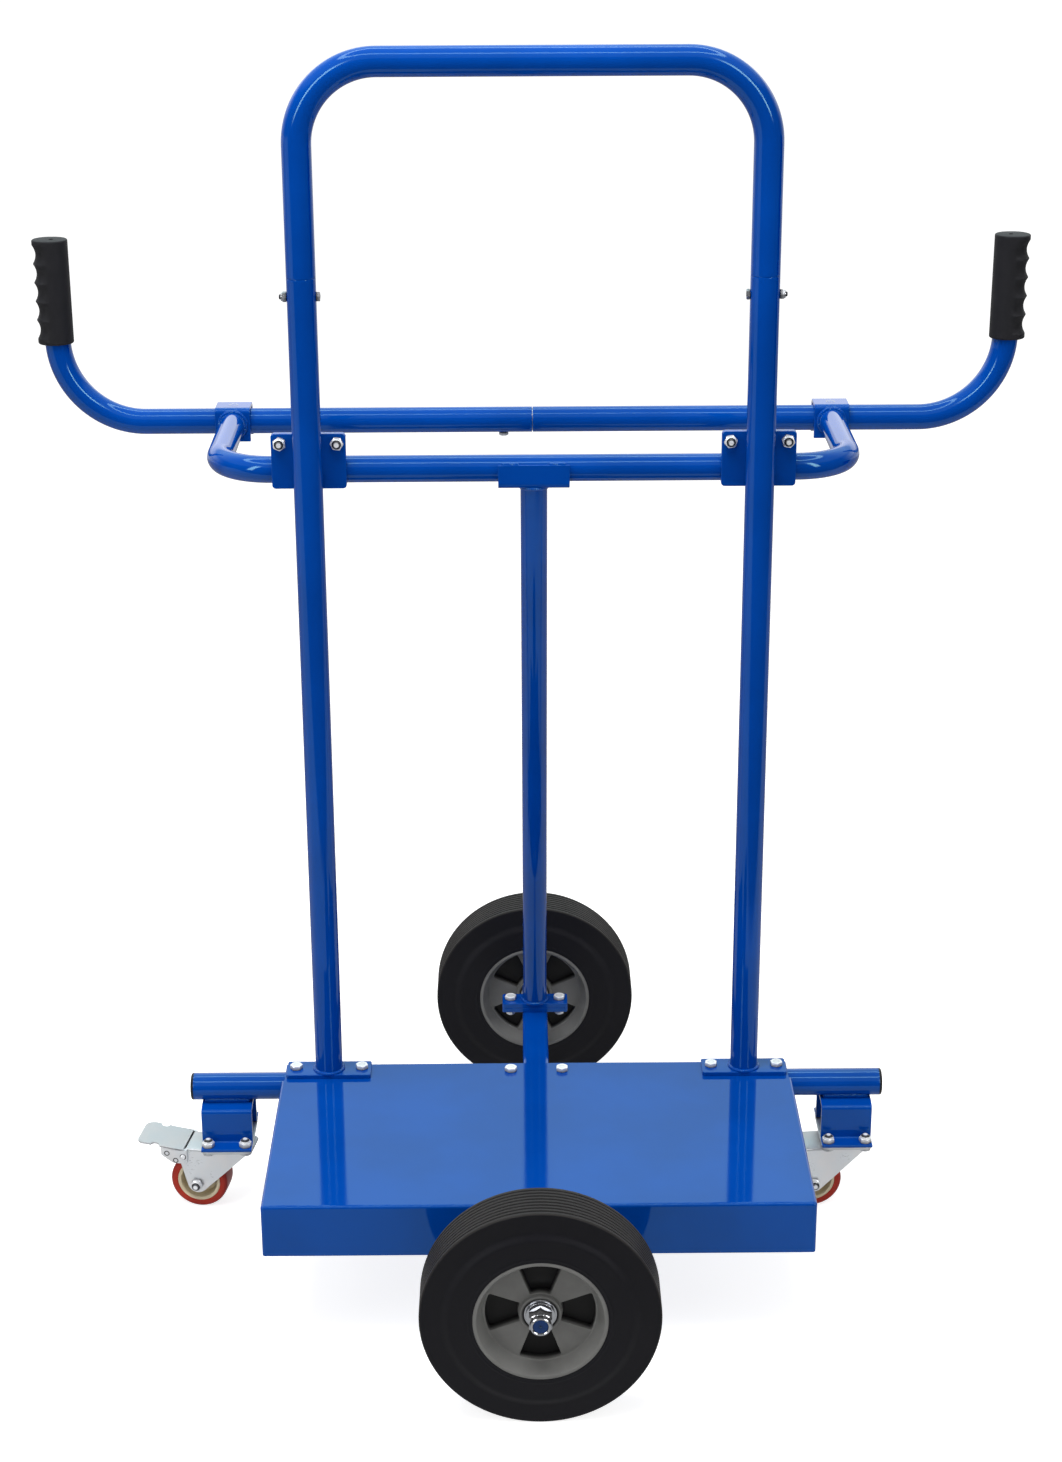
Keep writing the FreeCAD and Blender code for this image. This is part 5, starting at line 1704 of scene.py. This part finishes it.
@dataclass
class RearPost:
    """The slanted post from the spine up to a cradle under the rail, on two bolted plates."""

    foot_y: float = 284.0
    lug_z: float = 143.0
    plate_t: float = 6.0
    plate_l: float = 83.0
    plate_w: float = 29.0
    plate_corner: float = 3.0
    bolt_span: float = 31.0
    cradle_z: float = 888.9
    cradle_half: float = 19.1
    cradle_t: float = 4.0
    cradle_h: float = 27.0
    cradle_len: float = 79.0
    weld_x: float = 36.0
    weld_len: float = 20.0
    weld_r: float = 2.2
    weld_out: float = 1.2
    weld_up: float = 0.3
    foot_overhang: float = 2.2

    @property
    def foot_z(self) -> float:
        """Top of the upper foot plate."""
        return self.lug_z + 2 * self.plate_t

    @property
    def stretch(self) -> float:
        """How much longer than wide a level cut through the post is."""
        rise, run = self.cradle_z - self.foot_z, RAIL_Y - self.foot_y
        return math.hypot(rise, run) / rise

    def post(self) -> Skin:
        """The post: level ellipses whose middles lie on the slanted line, closed by level ends."""
        t = around(56)
        z = np.array([self.foot_z] * 2 + [self.cradle_z] * 2)[:, None]
        r = np.array([0, RAIL_R, RAIL_R, 0])[:, None]
        share = (z - self.foot_z) / (self.cradle_z - self.foot_z)
        y = self.foot_y + share * (RAIL_Y - self.foot_y) + r * self.stretch * np.sin(t)
        return grid(np.stack([r * np.cos(t), y, z + 0 * t], axis=2), close_v=True).closed()

    def cradle(self) -> Skin:
        """The cradle: a channel with rounded folds under the rail."""
        o, i = self.cradle_half, self.cradle_half - self.cradle_t
        low, floor, top = self.cradle_z, self.cradle_z + self.cradle_t, self.cradle_z + self.cradle_h
        corners = [(-o, low), (o, low), (o, top), (i, top), (i, floor), (-i, floor), (-i, top), (-o, top)]
        outline = rounded_outline(np.array(corners), [6.0, 6.0, 0.8, 0.8, 2.0, 2.0, 0.8, 0.8])
        half = self.cradle_len / 2
        return extrude(outline, Plane.ACROSS, -half, half).shifted(0, RAIL_Y, 0)

    def foot_plates(self) -> list[Skin]:
        """The lug plate on the spine and the post's plate on it."""
        skin = plate(self.plate_l, self.plate_w, self.plate_t, self.plate_corner, Plane.LEVEL)
        return [skin.shifted(0, self.foot_y, self.lug_z + i * self.plate_t) for i in range(2)]

    def welds(self) -> list[Skin]:
        """Beads round the post's foot and head, along the cradle's walls, and beside the spine."""
        a, b = X_AXIS * (RAIL_R + BEAD_OFF_TUBE), Y_AXIS * (RAIL_R * self.stretch + BEAD_OFF_TUBE)
        b_foot = Y_AXIS * min(b[1], self.plate_w / 2 + self.foot_overhang)
        beads = [
            ring_bead(vec(0, self.foot_y, self.foot_z + BEAD_OFF_PLATE), a, b_foot),
            ring_bead(vec(0, RAIL_Y, self.cradle_z - BEAD_OFF_PLATE), a, b),
        ]
        top = self.cradle_z + self.cradle_h
        for y in ENDS:
            for x in ENDS:
                start = vec(x * self.weld_x, RAIL_Y + y * (RAIL_R + self.weld_out), top + self.weld_up)
                beads.append(line_bead(start, start - X_AXIS * (x * self.weld_len), self.weld_r))
        return beads

    def build(self, bench: Bench) -> None:
        """Fits the post, its cradle, plates, welds and bolts."""
        bench.fit("slanted_post", [self.post()], Slot.BLUE, ["rear_post"])
        bench.fit("rail_cradle", [self.cradle()], Slot.BLUE, ["post_cradle"])
        lug, foot = self.foot_plates()
        bench.fit("spine_lug", [lug], Slot.BLUE, ["spine_lug_plate"])
        bench.fit("post_foot", [foot], Slot.BLUE, ["post_foot_plate"])
        bench.fit("post_welds", self.welds(), Slot.BLUE)
        spots = [vec(s.value * self.bolt_span, self.foot_y, self.foot_z) for s in Side]
        seats = [(p, Z_AXIS, 2 * self.plate_t, 0.3) for p in spots]
        bench.bolt("post_foot_bolts", "post_bolts", M8, seats)


# Casters


@dataclass
class CasterMount:
    """What holds a caster to the cross tube: a hat-shaped bracket, a plate, its kingpin and bolts."""

    top_z: float = 143.0
    length: float = 60.0
    sheet: float = 3.5
    half_w: float = 27.5
    flange_half: float = 46.0
    crest_half: float = 14.0
    shoulder_drop: float = 3.5
    base_z: float = 95.0
    plate_l: float = 92.0
    plate_w: float = 60.0
    plate_t: float = 3.2
    plate_corner: float = 8.0
    plate_edge: float = 0.6
    # painted shade: a darker copy of the zinc, to dim the plate's bright reflection
    plate_painted_shade: float = 0.3
    hole_x: float = 22.0
    hole_y: float = 37.5
    seat_r: float = 23.0
    race_r: float = 20.0
    race_z: float = 82.1
    race_t: float = 5.0
    race_bore: float = 13.0
    pin_r: float = 6.0
    pin_head_r: float = 10.0
    pin_head_t: float = 3.0
    pin_low_z: float = 78.9
    weld_inset: float = 3.0
    weld_span: float = 9.5
    weld_rise: float = 2.4
    weld_r: float = 2.8

    def bracket(self, side: Side) -> Skin:
        """A bracket: a bent strip's section with rounded folds, pushed along the cross tube."""
        t, shoulder = self.sheet, self.top_z - self.shoulder_drop
        right = [
            (self.crest_half, self.top_z),
            (self.half_w, shoulder),
            (self.half_w, self.base_z + t),
            (self.flange_half, self.base_z + t),
            (self.flange_half, self.base_z),
            (self.half_w - t, self.base_z),
            (self.half_w - t, shoulder - t / 2),
            (self.crest_half - t / 2, self.top_z - t),
        ]
        radii = [8.0, 5.0, 2.0, 0.7, 0.7, 5.0, 1.5, 4.0]
        corners = np.array(right + [(-a, b) for a, b in right[::-1]])
        outline = rounded_outline(corners, radii + radii[::-1])
        start = side.value * CASTER_X - self.length / 2
        skin = extrude(outline, Plane.ACROSS, start, start + self.length)
        return skin.shifted(0, MAST_Y, 0)

    def top_plate(self, side: Side) -> list[Skin]:
        """The caster's fixed plate, darkened all over by painted shade, and the pressed seat under it."""
        skin = plate(
            self.plate_w, self.plate_l, self.plate_t, self.plate_corner, Plane.LEVEL, self.plate_edge
        )
        x, z = side.value * CASTER_X, self.base_z - self.plate_t
        seat_low = self.race_z + self.race_t
        seat = disc(self.seat_r, seat_low, z + 0.2, vec(x, MAST_Y, 0), Z_AXIS, 1.2)
        return [skin.toned(self.plate_painted_shade).shifted(x, MAST_Y, z), seat]

    def kingpin(self, side: Side) -> list[Skin]:
        """The rivet with domed heads, and the swivel race around it."""
        place = vec(side.value * CASTER_X, MAST_Y, 0)
        t = quarter(6)
        dome = np.stack([self.pin_head_r * np.cos(t), self.pin_head_t * np.sin(t)], axis=1)
        upper = dome + (0, self.base_z)
        lower = (dome * (1, -1) + (0, self.pin_low_z))[::-1]
        shank = [(self.pin_r, self.pin_low_z), (self.pin_r, self.base_z)]
        pin = lathe(np.concatenate([lower, shank, upper]), place, Z_AXIS, 48)
        race = disc(self.race_r, self.race_z, self.race_z + self.race_t, place, Z_AXIS, 1.0, self.race_bore)
        return [pin, race]

    def bolt_spots(self, side: Side) -> list[Floats]:
        """Places of the four bolts' heads under the plate."""
        x, z = side.value * CASTER_X, self.base_z - self.plate_t
        return [vec(x + i * self.hole_x, MAST_Y + j * self.hole_y, z) for i in ENDS for j in ENDS]

    def tube_weld(self, side: Side) -> list[Skin]:
        """Beads between the bracket's crest and the cross tube."""
        x = side.value * CASTER_X - self.length / 2 + self.weld_inset
        run = X_AXIS * (self.length - 2 * self.weld_inset)
        z = self.top_z + self.weld_rise
        starts = [vec(x, MAST_Y + e * self.weld_span, z) for e in ENDS]
        return [line_bead(start, start + run, self.weld_r) for start in starts]

    def build(self, bench: Bench) -> None:
        """Fits both brackets, plates and kingpins, and their bolts."""
        bench.fit("hat_brackets", [self.bracket(s) for s in Side], Slot.BLUE, ["caster_brackets"])
        bench.fit("bracket_welds", [w for s in Side for w in self.tube_weld(s)], Slot.BLUE)
        plates = [p for s in Side for p in self.top_plate(s)]
        bench.fit("caster_top_plates", plates, Slot.ZINC, ["caster_plates"])
        pins = [p for s in Side for p in self.kingpin(s)]
        bench.fit("swivel_pins", pins, Slot.ZINC, ["caster_kingpins"])
        spots = [p for s in Side for p in self.bolt_spots(s)]
        turns = np.linspace(0.1, 0.9, len(spots))
        grip = self.plate_t + self.sheet
        seats = [(p, -Z_AXIS, grip, turn) for p, turn in zip(spots, turns)]
        bench.bolt("caster_plate_bolts", "caster_bolts", M8_LOW, seats)


@dataclass
class Caster:
    """A swivel caster in its own frame, the wheel trailing to -X: fork, wheel, axle and brake pedal."""

    side: Side
    turn_deg: float
    trail: float = 37.5
    wheel_r: float = 35.0
    tread_half: float = 16.0
    tread_t: float = 9.0
    tread_edge: float = 4.0
    tread_crown: float = 0.25
    boss_r: float = 12.0
    boss_half: float = 19.1
    hub_rim_t: float = 4.0
    web_half: float = 3.5
    bush_r: float = 6.0
    fork_half: float = 22.0
    fork_t: float = 2.5
    crown_z: float = 79.0
    crown_top: float = 82.0
    crown_rear: float = 52.0
    fork_front: float = 24.0
    fork_corner: float = 6.0
    fork_skirt: float = 4.0
    # painted shade: a darker copy of the zinc on the crown, to dim its bright top
    crown_painted_shade: float = 0.3
    foot_r: float = 12.0
    pin: tuple = (-53.0, 72.0)
    pin_r: float = 3.0
    pin_overhang: float = 2.0
    lug_r: float = 6.5
    pedal_half: float = 24.9
    pedal_t: float = 2.5
    pedal_split: float = 0.5
    pedal_flat_end: float = 56.0
    pedal_ramp: float = 44.0
    pedal_end: float = 110.0
    pedal_rise: float = 6.5
    pedal_ease: float = 0.5
    # painted shade: a darker, duller copy of the zinc over the whole pedal plate
    pedal_painted_shade: float = 0.4
    tab_corner: float = 9.0
    notch_r: float = 5.0
    notch_x: float = 87.0
    ear_front: float = 5.0
    ear_rear: float = 27.0
    ear_depth: float = 9.2
    ear_taper: tuple = (14.0, 10.0)
    bar_r: float = 2.5
    bar_gap: float = 2.6
    bar_angle_deg: float = 52.0
    spring_pin_r: float = 2.5
    spring_back: float = 19.7
    spring_rise: float = 3.5

    def placed(self, skins: Sequence[Skin]) -> list[Skin]:
        """Pieces turned about the swivel axis and moved to their place on the dolly."""
        c, s = math.cos(math.radians(self.turn_deg)), math.sin(math.radians(self.turn_deg))
        turn = np.array([(c, -s, 0), (s, c, 0), (0, 0, 1)])
        place = vec(self.side.value * CASTER_X, MAST_Y, 0)
        return [skin.moved(turn, place) for skin in skins]

    @property
    def axle(self) -> Floats:
        """The wheel's middle in the caster's frame."""
        return vec(-self.trail, 0, self.wheel_r)

    def tread(self) -> Skin:
        """The tread: a band with rounded edges and a slightly crowned face."""
        e, half, drop = self.tread_edge, self.tread_half, self.tread_crown
        q = np.linspace(0, half - e, 6)
        crown = np.stack([self.wheel_r - drop * (q / (half - e)) ** 2, q], axis=1)
        inset, depth = rim_steps(e, 8)
        edge = np.stack([self.wheel_r - drop - depth, half - inset], axis=1)[1:]
        seat = self.wheel_r - self.tread_t + 0.1
        side = np.concatenate([crown, edge, [(seat + 0.6, half), (seat, half - 0.5)]])
        profile = np.concatenate([side, (side * (1, -1))[:0:-1]])
        tone = 0.9 * np.clip(1 - (self.wheel_r - profile[:, 0]) / 5, 0, 1)
        return lathe(profile, self.axle, Y_AXIS, 96, ring=True, tone=tone)

    def hub(self) -> Skin:
        """The hub: a rim with a rounded lip, a recessed web with one raised ring, and a boss."""
        seat, half = self.wheel_r - self.tread_t, self.tread_half
        lip, r, bush = seat - self.hub_rim_t, self.boss_r, self.bush_r
        mid = (lip + r) / 2
        web, boss = self.web_half, self.boss_half
        side = [(seat, half - 0.5), (seat - 0.5, half), (lip + 0.8, half), (lip, half - 0.8)]
        side += [(lip - 1.2, web + 1.0), (lip - 2.0, web), (mid + 1.6, web), (mid + 1.2, web + 2.5)]
        side += [(mid - 1.2, web + 2.5), (mid - 1.6, web), (r + 1.0, web), (r + 0.2, web + 1.0)]
        side += [(r, boss - 0.6), (r - 0.6, boss), (bush + 0.5, boss), (bush + FIT_GAP, boss - 0.5)]
        profile = side + [(radius, -height) for radius, height in side[::-1]]
        return lathe(profile, self.axle, Y_AXIS, 96, ring=True)

    def leg(self) -> Floats:
        """Outline of a fork's leg in X and Z: from the skirt round the foot, up and round the lug."""
        axle, pin = self.axle[[0, 2]], np.array(self.pin)
        skirt = np.array((self.fork_front, self.crown_top - self.fork_skirt))
        ways = []
        for point, radius, sense in ((skirt, 0.0, -1), (pin, self.lug_r, 1)):
            reach = point - axle
            bow = math.acos((self.foot_r - radius) / math.hypot(*reach))
            ways.append(math.atan2(reach[1], reach[0]) + sense * bow)
        t = np.linspace(ways[0], ways[1] - TURN, 17)[:, None]
        foot = axle + self.foot_r * np.concatenate([np.cos(t), np.sin(t)], axis=1)
        t = np.linspace(ways[1] - TURN, -3 * QUARTER, 13)[:, None]
        lug = pin + self.lug_r * np.concatenate([np.cos(t), np.sin(t)], axis=1)
        top = self.crown_top - 2.4
        tail = np.array([(-self.crown_rear, lug[-1][1]), (-self.crown_rear, top), (self.fork_front, top)])
        return np.concatenate([skirt[None, :], foot, lug, tail])

    def fork(self) -> list[Skin]:
        """The fork: two legs under a crown with rounded front corners and a rounded fold all round, the crown
        darkened by painted shade.
        """
        outline = self.leg()
        o, t = self.fork_half, self.fork_t
        legs = [extrude(outline, Plane.FACING, a, b, (0.4, 0.4)) for a, b in ((-o, t - o), (o - t, o))]
        front, rear = self.fork_front + self.fork_corner, -self.crown_rear
        corners = np.array([(front, -o), (front, o), (rear, o), (rear, -o)])
        edge = rounded_outline(corners, [self.fork_corner, self.fork_corner, 0.6, 0.6])
        crown = extrude(edge, Plane.LEVEL, self.crown_z, self.crown_top, (0.3, 2.2))
        return [*legs, crown.toned(self.crown_painted_shade)]

    def axle_parts(self) -> list[Skin]:
        """The axle's bolt and nut, its bush, and the pedal's riveted pin."""
        head = self.axle + Y_AXIS * self.fork_half
        nut = self.axle - Y_AXIS * self.fork_half
        bolt = M8_LOW.bolt(head, Y_AXIS, 2 * self.fork_half, 0.4)
        inner = self.fork_half - self.fork_t
        bush = disc(self.bush_r, -inner, inner, self.axle, Y_AXIS, 0.3, M8.d / 2 + FIT_GAP)
        pivot = self.rivet(self.pin_r, vec(self.pin[0], 0, self.pin[1]), self.pedal_half + self.pin_overhang)
        return [bolt, M8.lock_nut(nut, -Y_AXIS, 0.4), bush, pivot]

    def rivet(self, radius: float, place: Floats, half: float) -> Skin:
        """A pin across the caster with domed ends, and thin dark discs of painted shadow where it leaves the
        ears.
        """
        t = quarter(6)
        dome = np.stack([radius * (0.35 + 0.65 * np.cos(t)), half - 0.9 + 0.9 * np.sin(t)], axis=1)
        end = np.concatenate([dome, [(0, half - 0.3)]])
        profile = np.concatenate([(end * (1, -1))[::-1], end])
        face = self.pedal_half + 0.04
        # painted shadow: thin discs in the tone 1, laid on the ears round the pin
        section = [(radius - 0.3, 0.0), (radius + 0.9, 0.0), (radius + 0.8, 0.1), (radius - 0.3, 0.1)]
        starts = [place + Y_AXIS * h for h in (face - 0.1, -face)]
        rings = [lathe(section, start, Y_AXIS, 40, ring=True).toned(1.0) for start in starts]
        return joined([lathe(profile, place, Y_AXIS, 40), *rings])

    def rise(self, x: Floats) -> Floats:
        """How far the pedal's plate has risen at x: a smooth step along its ramp."""
        run = np.clip((-self.pedal_flat_end - x) / self.pedal_ramp, 0, 1)
        return self.pedal_rise * (0.75 * run + 0.25 * ramp(run))

    def pedal_plate(self) -> Skin:
        """The pedal's plate: sections with eased edges, along a gently rising line, dulled and darkened by
        painted shade.

        The half width loses a circular notch on each side and falls along a quarter circle at the tab's end.

        Returns:
            The closed surface.
        """
        c, ease, t = self.tab_corner, self.pedal_ease, self.pedal_t / 2
        inset, _ = rim_steps(c, 13)
        straight = np.linspace(-self.crown_rear - self.pedal_split, c - self.pedal_end, 90)[:-1]
        x = np.concatenate([straight, inset - self.pedal_end])
        tail = np.clip(c - self.pedal_end - x, 0, c)
        notch = np.sqrt(np.maximum(self.notch_r**2 - (x + self.notch_x) ** 2, 0))
        half = self.pedal_half - notch - c + np.sqrt(np.maximum(c * c - tail * tail, 0))
        side = np.array([1, 1, 1, -1, -1, -1, -1, 1])
        inward = ease * np.array([0, 0, 1, 1, 0, 0, 1, 1])
        up = np.array([ease - t, t - ease, t, t, t - ease, ease - t, -t, -t])
        y = side * (half[:, None] - inward)
        z = self.crown_top - t + self.rise(x)[:, None] + up
        skin = grid(np.stack([x[:, None] + 0 * y, y, z], axis=2), close_v=True)
        ends = np.arange(len(side))
        skin.caps = [ends, (ends + len(side) * (len(x) - 1))[::-1]]
        return skin.toned(self.pedal_painted_shade).closed()

    def ear(self, low_y: float) -> Skin:
        """A folded ear of the pedal, outside the fork's lug."""
        px, pz = self.pin
        low, top = pz - self.ear_depth, self.crown_top - 0.6
        front, rear = px + self.ear_front, px - self.ear_rear
        run, up = self.ear_taper
        corners = [(front, top), (front, low), (rear + run, low), (rear, low + up)]
        corners += [(rear, top + float(self.rise(np.array(rear)))), (-self.pedal_flat_end, top)]
        outline = rounded_outline(np.array(corners), [0.3, 3.0, 4.0, 3.0, 0.3, 0.3])
        return extrude(outline, Plane.FACING, low_y, low_y + self.pedal_t, (0.4, 0.4))

    def pedal(self) -> list[Skin]:
        """The pedal: plate and two ears."""
        o = self.pedal_half
        return [self.pedal_plate(), self.ear(-o), self.ear(o - self.pedal_t)]

    def pins(self) -> list[Skin]:
        """The bar that presses on the tread, and the spring's pin."""
        reach = self.wheel_r + self.bar_gap + self.bar_r
        a = math.radians(self.bar_angle_deg)
        press = vec(-self.trail - reach * math.cos(a), 0, self.wheel_r + reach * math.sin(a))
        spring = vec(self.pin[0] - self.spring_back, 0, self.pin[1] + self.spring_rise)
        half = self.pedal_half
        return [self.rivet(self.bar_r, press, half), self.rivet(self.spring_pin_r, spring, half)]

    def build(self, bench: Bench) -> None:
        """Fits the caster's fork, wheel and brake."""
        w = self.side.word
        rows = [
            ("pressed_fork", self.fork(), Slot.ZINC, "caster_fork", None, "caster"),
            ("axle_set", self.axle_parts(), Slot.ZINC, "caster_axle", Steel.SCREW, "caster"),
            ("red_tread", [self.tread()], Slot.TREAD, "caster_tread", None, "caster_wheel"),
            ("ribbed_hub", [self.hub()], Slot.HUB, "caster_hub", None, "caster_wheel"),
            ("foot_pedal", self.pedal(), Slot.ZINC, "brake_pedal", None, "brake"),
            ("pedal_pins", self.pins(), Slot.ZINC, "brake_pins", None, "brake"),
        ]
        for name, skins, slot, node, steel, body in rows:
            bench.fit(f"{w}_{name}", self.placed(skins), slot, [f"{w}_{node}"], steel, f"{w}_{body}")


# Studio


@dataclass
class Studio:
    """A pale floor, a white surround, soft lamps and the camera."""

    floor_half: float = 30.0
    floor_z: float = -0.0004
    floor_colour: tuple = (0.62, 0.62, 0.62, 1.0)
    floor_lift: float = 0.8
    sky: float = 0.44
    mirror_floor: float = 0.7
    mirror_reach: tuple = (-1.05, -0.8)
    mirror_lean: float = 0.45
    mirror_dip: float = 0.55
    dip_reach: tuple = (0.1, 0.8)
    mirror_far: float = 0.75
    far_reach: tuple = (3.2, 4.6)
    mirror_front: float = 0.06
    mirror_above: float = 0.5
    above_reach: tuple = (0.42, 0.56)
    mirror_back: float = 1.0
    back_reach: tuple = (0.0, 0.8)
    back_colour: tuple = (0.72, 0.985, 1.0, 1.0)
    tint_reach: tuple = (0.3, 0.45)
    mirror_low: float = 0.8
    low_reach: tuple = ((0.1, 0.17), (0.33, 0.42))
    mirror_strip: float = 6.0
    strip_reach: tuple = ((0.86, 0.88), (0.905, 0.925))
    mirror_sides: float = 11.0
    side_plane: tuple = (0.728, 0.628, 0.276)
    side_reach: tuple = ((0.0, 0.12), (0.5, 0.7))
    side_edge: tuple = (0.04, 0.12)
    side_front: tuple = (-0.3, -0.2)
    lamp_aim: tuple = (0.0, 0.0, 0.7)
    lamps: tuple = (
        ("overhead_soft_box", (-0.5, -0.6, 3.6), (2.4, 1.6), 118.0),
        ("left_strip", (-2.6, -2.2, 2.2), (0.7, 2.4), 24.0),
        ("right_fill", (2.8, -1.8, 1.9), (1.4, 2.2), 18.0),
    )
    image_height: int = 1462
    focal_px: float = 2612.0
    pitch_deg: float = 21.003
    yaw_deg: float = 0.31
    roll_deg: float = -0.267
    eye: tuple = (-19.6, -2713.0, 1672.5)
    sensor: float = 36.0
    clip_end: float = 200.0

    def floor(self) -> None:
        """A level floor with the shadow: lifted to white where seen, dim to the front in reflections."""
        h = self.floor_half
        mesh = bpy.data.meshes.new("floor")
        corners = np.column_stack([rectangle(2 * h, 2 * h), np.full(4, self.floor_z)])
        mesh.from_pydata(corners.tolist(), [], [(0, 1, 2, 3)])
        book = NodeBook("pale_floor")
        path = book.node("ShaderNodeLightPath").outputs
        seen = Wire(book, path["Is Camera Ray"]) + Wire(book, path["Is Transmission Ray"])
        split = book.node("ShaderNodeSeparateXYZ", {0: book.place})
        across, along = (Wire(book, s) for s in split.outputs[:2])
        near = book.band(along - self.mirror_lean * across, *self.mirror_reach)
        near = near - self.mirror_dip * book.band(along, *self.dip_reach)
        near = near + self.mirror_far * book.band(along, *self.far_reach)
        matt = book.node("ShaderNodeBsdfDiffuse", {"Color": self.floor_colour})
        lift = book.node("ShaderNodeEmission", {"Color": seen * self.floor_lift})
        both = book.node("ShaderNodeAddShader", {0: matt.outputs[0], 1: lift.outputs[0]})
        glow = book.node("ShaderNodeEmission", {"Color": self.mirror_front + self.mirror_floor * near})
        share = {0: path["Is Glossy Ray"], 1: both.outputs[0], 2: glow.outputs[0]}
        mixed = book.node("ShaderNodeMixShader", share)
        book.node("ShaderNodeOutputMaterial", {"Surface": mixed.outputs[0]})
        mesh.materials.append(book.material)
        floor = bpy.data.objects.new("floor", mesh)
        bpy.context.scene.collection.objects.link(floor)

    def surround(self) -> None:
        """A white world: full white where seen, softer as light, pale only in parts of reflections."""
        world = bpy.data.worlds.new("white_surround")
        world.use_nodes = True
        book = NodeBook("white_surround", world.node_tree)
        path = book.node("ShaderNodeLightPath").outputs
        sight = book.node("ShaderNodeTexCoord").outputs["Generated"]
        way = book.node("ShaderNodeSeparateXYZ", {0: sight})
        behind = book.band(Wire(book, way.outputs["Y"]), *self.back_reach)
        height = Wire(book, way.outputs["Z"])
        above = self.mirror_above * book.band(height, *self.above_reach)
        strip = self.mirror_strip * book.window(height, *self.strip_reach)
        low = self.mirror_low * book.window(height, *self.low_reach)
        mirrored = self.mirror_front + above + strip + (self.mirror_back + low) * behind
        mirrored = mirrored + self.mirror_sides * self.tall(book, way)
        camera, gloss = Wire(book, path["Is Camera Ray"]), Wire(book, path["Is Glossy Ray"])
        light = self.sky * (1 - gloss) + mirrored * gloss
        strength = camera + (1 - camera) * light
        tinted = behind * gloss * book.band(height, *self.tint_reach)
        colour = book.mix(tinted, (1, 1, 1, 1), self.back_colour)
        white = book.node("ShaderNodeBackground", {"Color": colour, "Strength": strength})
        book.node("ShaderNodeOutputWorld", {"Surface": white.outputs[0]})
        bpy.context.scene.world = world

    def tall(self, book: NodeBook, way: bpy.types.Node) -> Wire:
        """Two tall boxes in front, left and right: near a leaning plane, from level to a third of the way up.

        Args:
            book: The world's nodes.
            way: The node that splits a direction into X, Y and Z.

        Returns:
            1 in the boxes and 0 elsewhere.
        """
        across, along, height = (Wire(book, s) for s in way.outputs)
        a, b, c = self.side_plane
        off = book.math("ABSOLUTE", a * book.math("ABSOLUTE", across, 0.0) + b * along + c * height, 0.0)
        ends = book.window(height, *self.side_reach)
        return (1 - book.band(off, *self.side_edge)) * ends * (1 - book.band(along, *self.side_front))

    def stand(self, item: bpy.types.Object, axes: Sequence[Floats], place: Floats) -> None:
        """Puts an object into the scene, turned to its three axes, at a place in metres."""
        rows = np.column_stack([*axes, place]).tolist()
        item.matrix_world = Matrix([*rows, (0, 0, 0, 1)])
        bpy.context.scene.collection.objects.link(item)

    def lamp(self, name: str, place: Floats, size: tuple[float, float], power: float) -> None:
        """A soft rectangular lamp that looks at the dolly's middle and that glossy surfaces don't show.

        Args:
            name: The lamp's name.
            place: Where it hangs, in metres.
            size: Its width and height.
            power: Its power in watts.
        """
        data = bpy.data.lights.new(name, "AREA")
        data.shape = "RECTANGLE"
        data.size, data.size_y = size
        data.energy = power
        lamp = bpy.data.objects.new(name, data)
        lamp.visible_glossy = False
        back = unit(place - vec(*self.lamp_aim))
        right = unit(np.cross(Z_AXIS, back))
        self.stand(lamp, (right, np.cross(back, right), back), place)

    def camera(self) -> None:
        """The camera at the photograph's angle, its lens worked out from the focal length in pixels."""
        pitch, yaw, roll = (math.radians(a) for a in (self.pitch_deg, self.yaw_deg, self.roll_deg))
        ahead = vec(math.sin(yaw) * math.cos(pitch), math.cos(yaw) * math.cos(pitch), -math.sin(pitch))
        level = vec(math.cos(yaw), -math.sin(yaw), 0)
        up = np.cross(level, ahead)
        right = math.cos(roll) * level + math.sin(roll) * up
        up = -math.sin(roll) * level + math.cos(roll) * up
        data = bpy.data.cameras.new("photo_camera")
        data.sensor_fit = "VERTICAL"
        data.sensor_height = self.sensor
        data.lens = self.focal_px * self.sensor / self.image_height
        data.clip_end = self.clip_end
        camera = bpy.data.objects.new("photo_camera", data)
        self.stand(camera, (right, up, -ahead), vec(*self.eye) * MM)
        bpy.context.scene.camera = camera

    def build(self) -> None:
        """Sets up the whole studio."""
        bpy.context.scene.view_settings.view_transform = "Standard"
        self.floor()
        self.surround()
        for name, place, size, power in self.lamps:
            self.lamp(name, vec(*place), size, power)
        self.camera()


def main() -> None:
    """Builds the studio and every sub-assembly in order, then dresses the solids that stay."""
    logging.basicConfig(level=logging.INFO, format="%(message)s")
    Studio().build()
    bench = Bench(finishes())
    wheels = [RoadWheel("front", -WHEEL_Y, 0.0), RoadWheel("rear", WHEEL_Y, TURN / 8)]
    frame_parts = [AxleAndSpine(), Deck(), Mast(), GuardRail(), Handle(), RearPost(), CasterMount()]
    casters = [Caster(Side.LEFT, -9.0), Caster(Side.RIGHT, 5.0)]
    for assembly in (*wheels, *frame_parts, *casters):
        assembly.build(bench)
    bench.fit("lock_nuts", bench.lock_nuts, Slot.ZINC, ["m8_nuts"], Steel.SCREW)
    bench.dress_solids({"handle_joint_sleeve": Slot.ZINC, "spine_plugs": Slot.CAP})


if __name__ == "__main__":
    main()
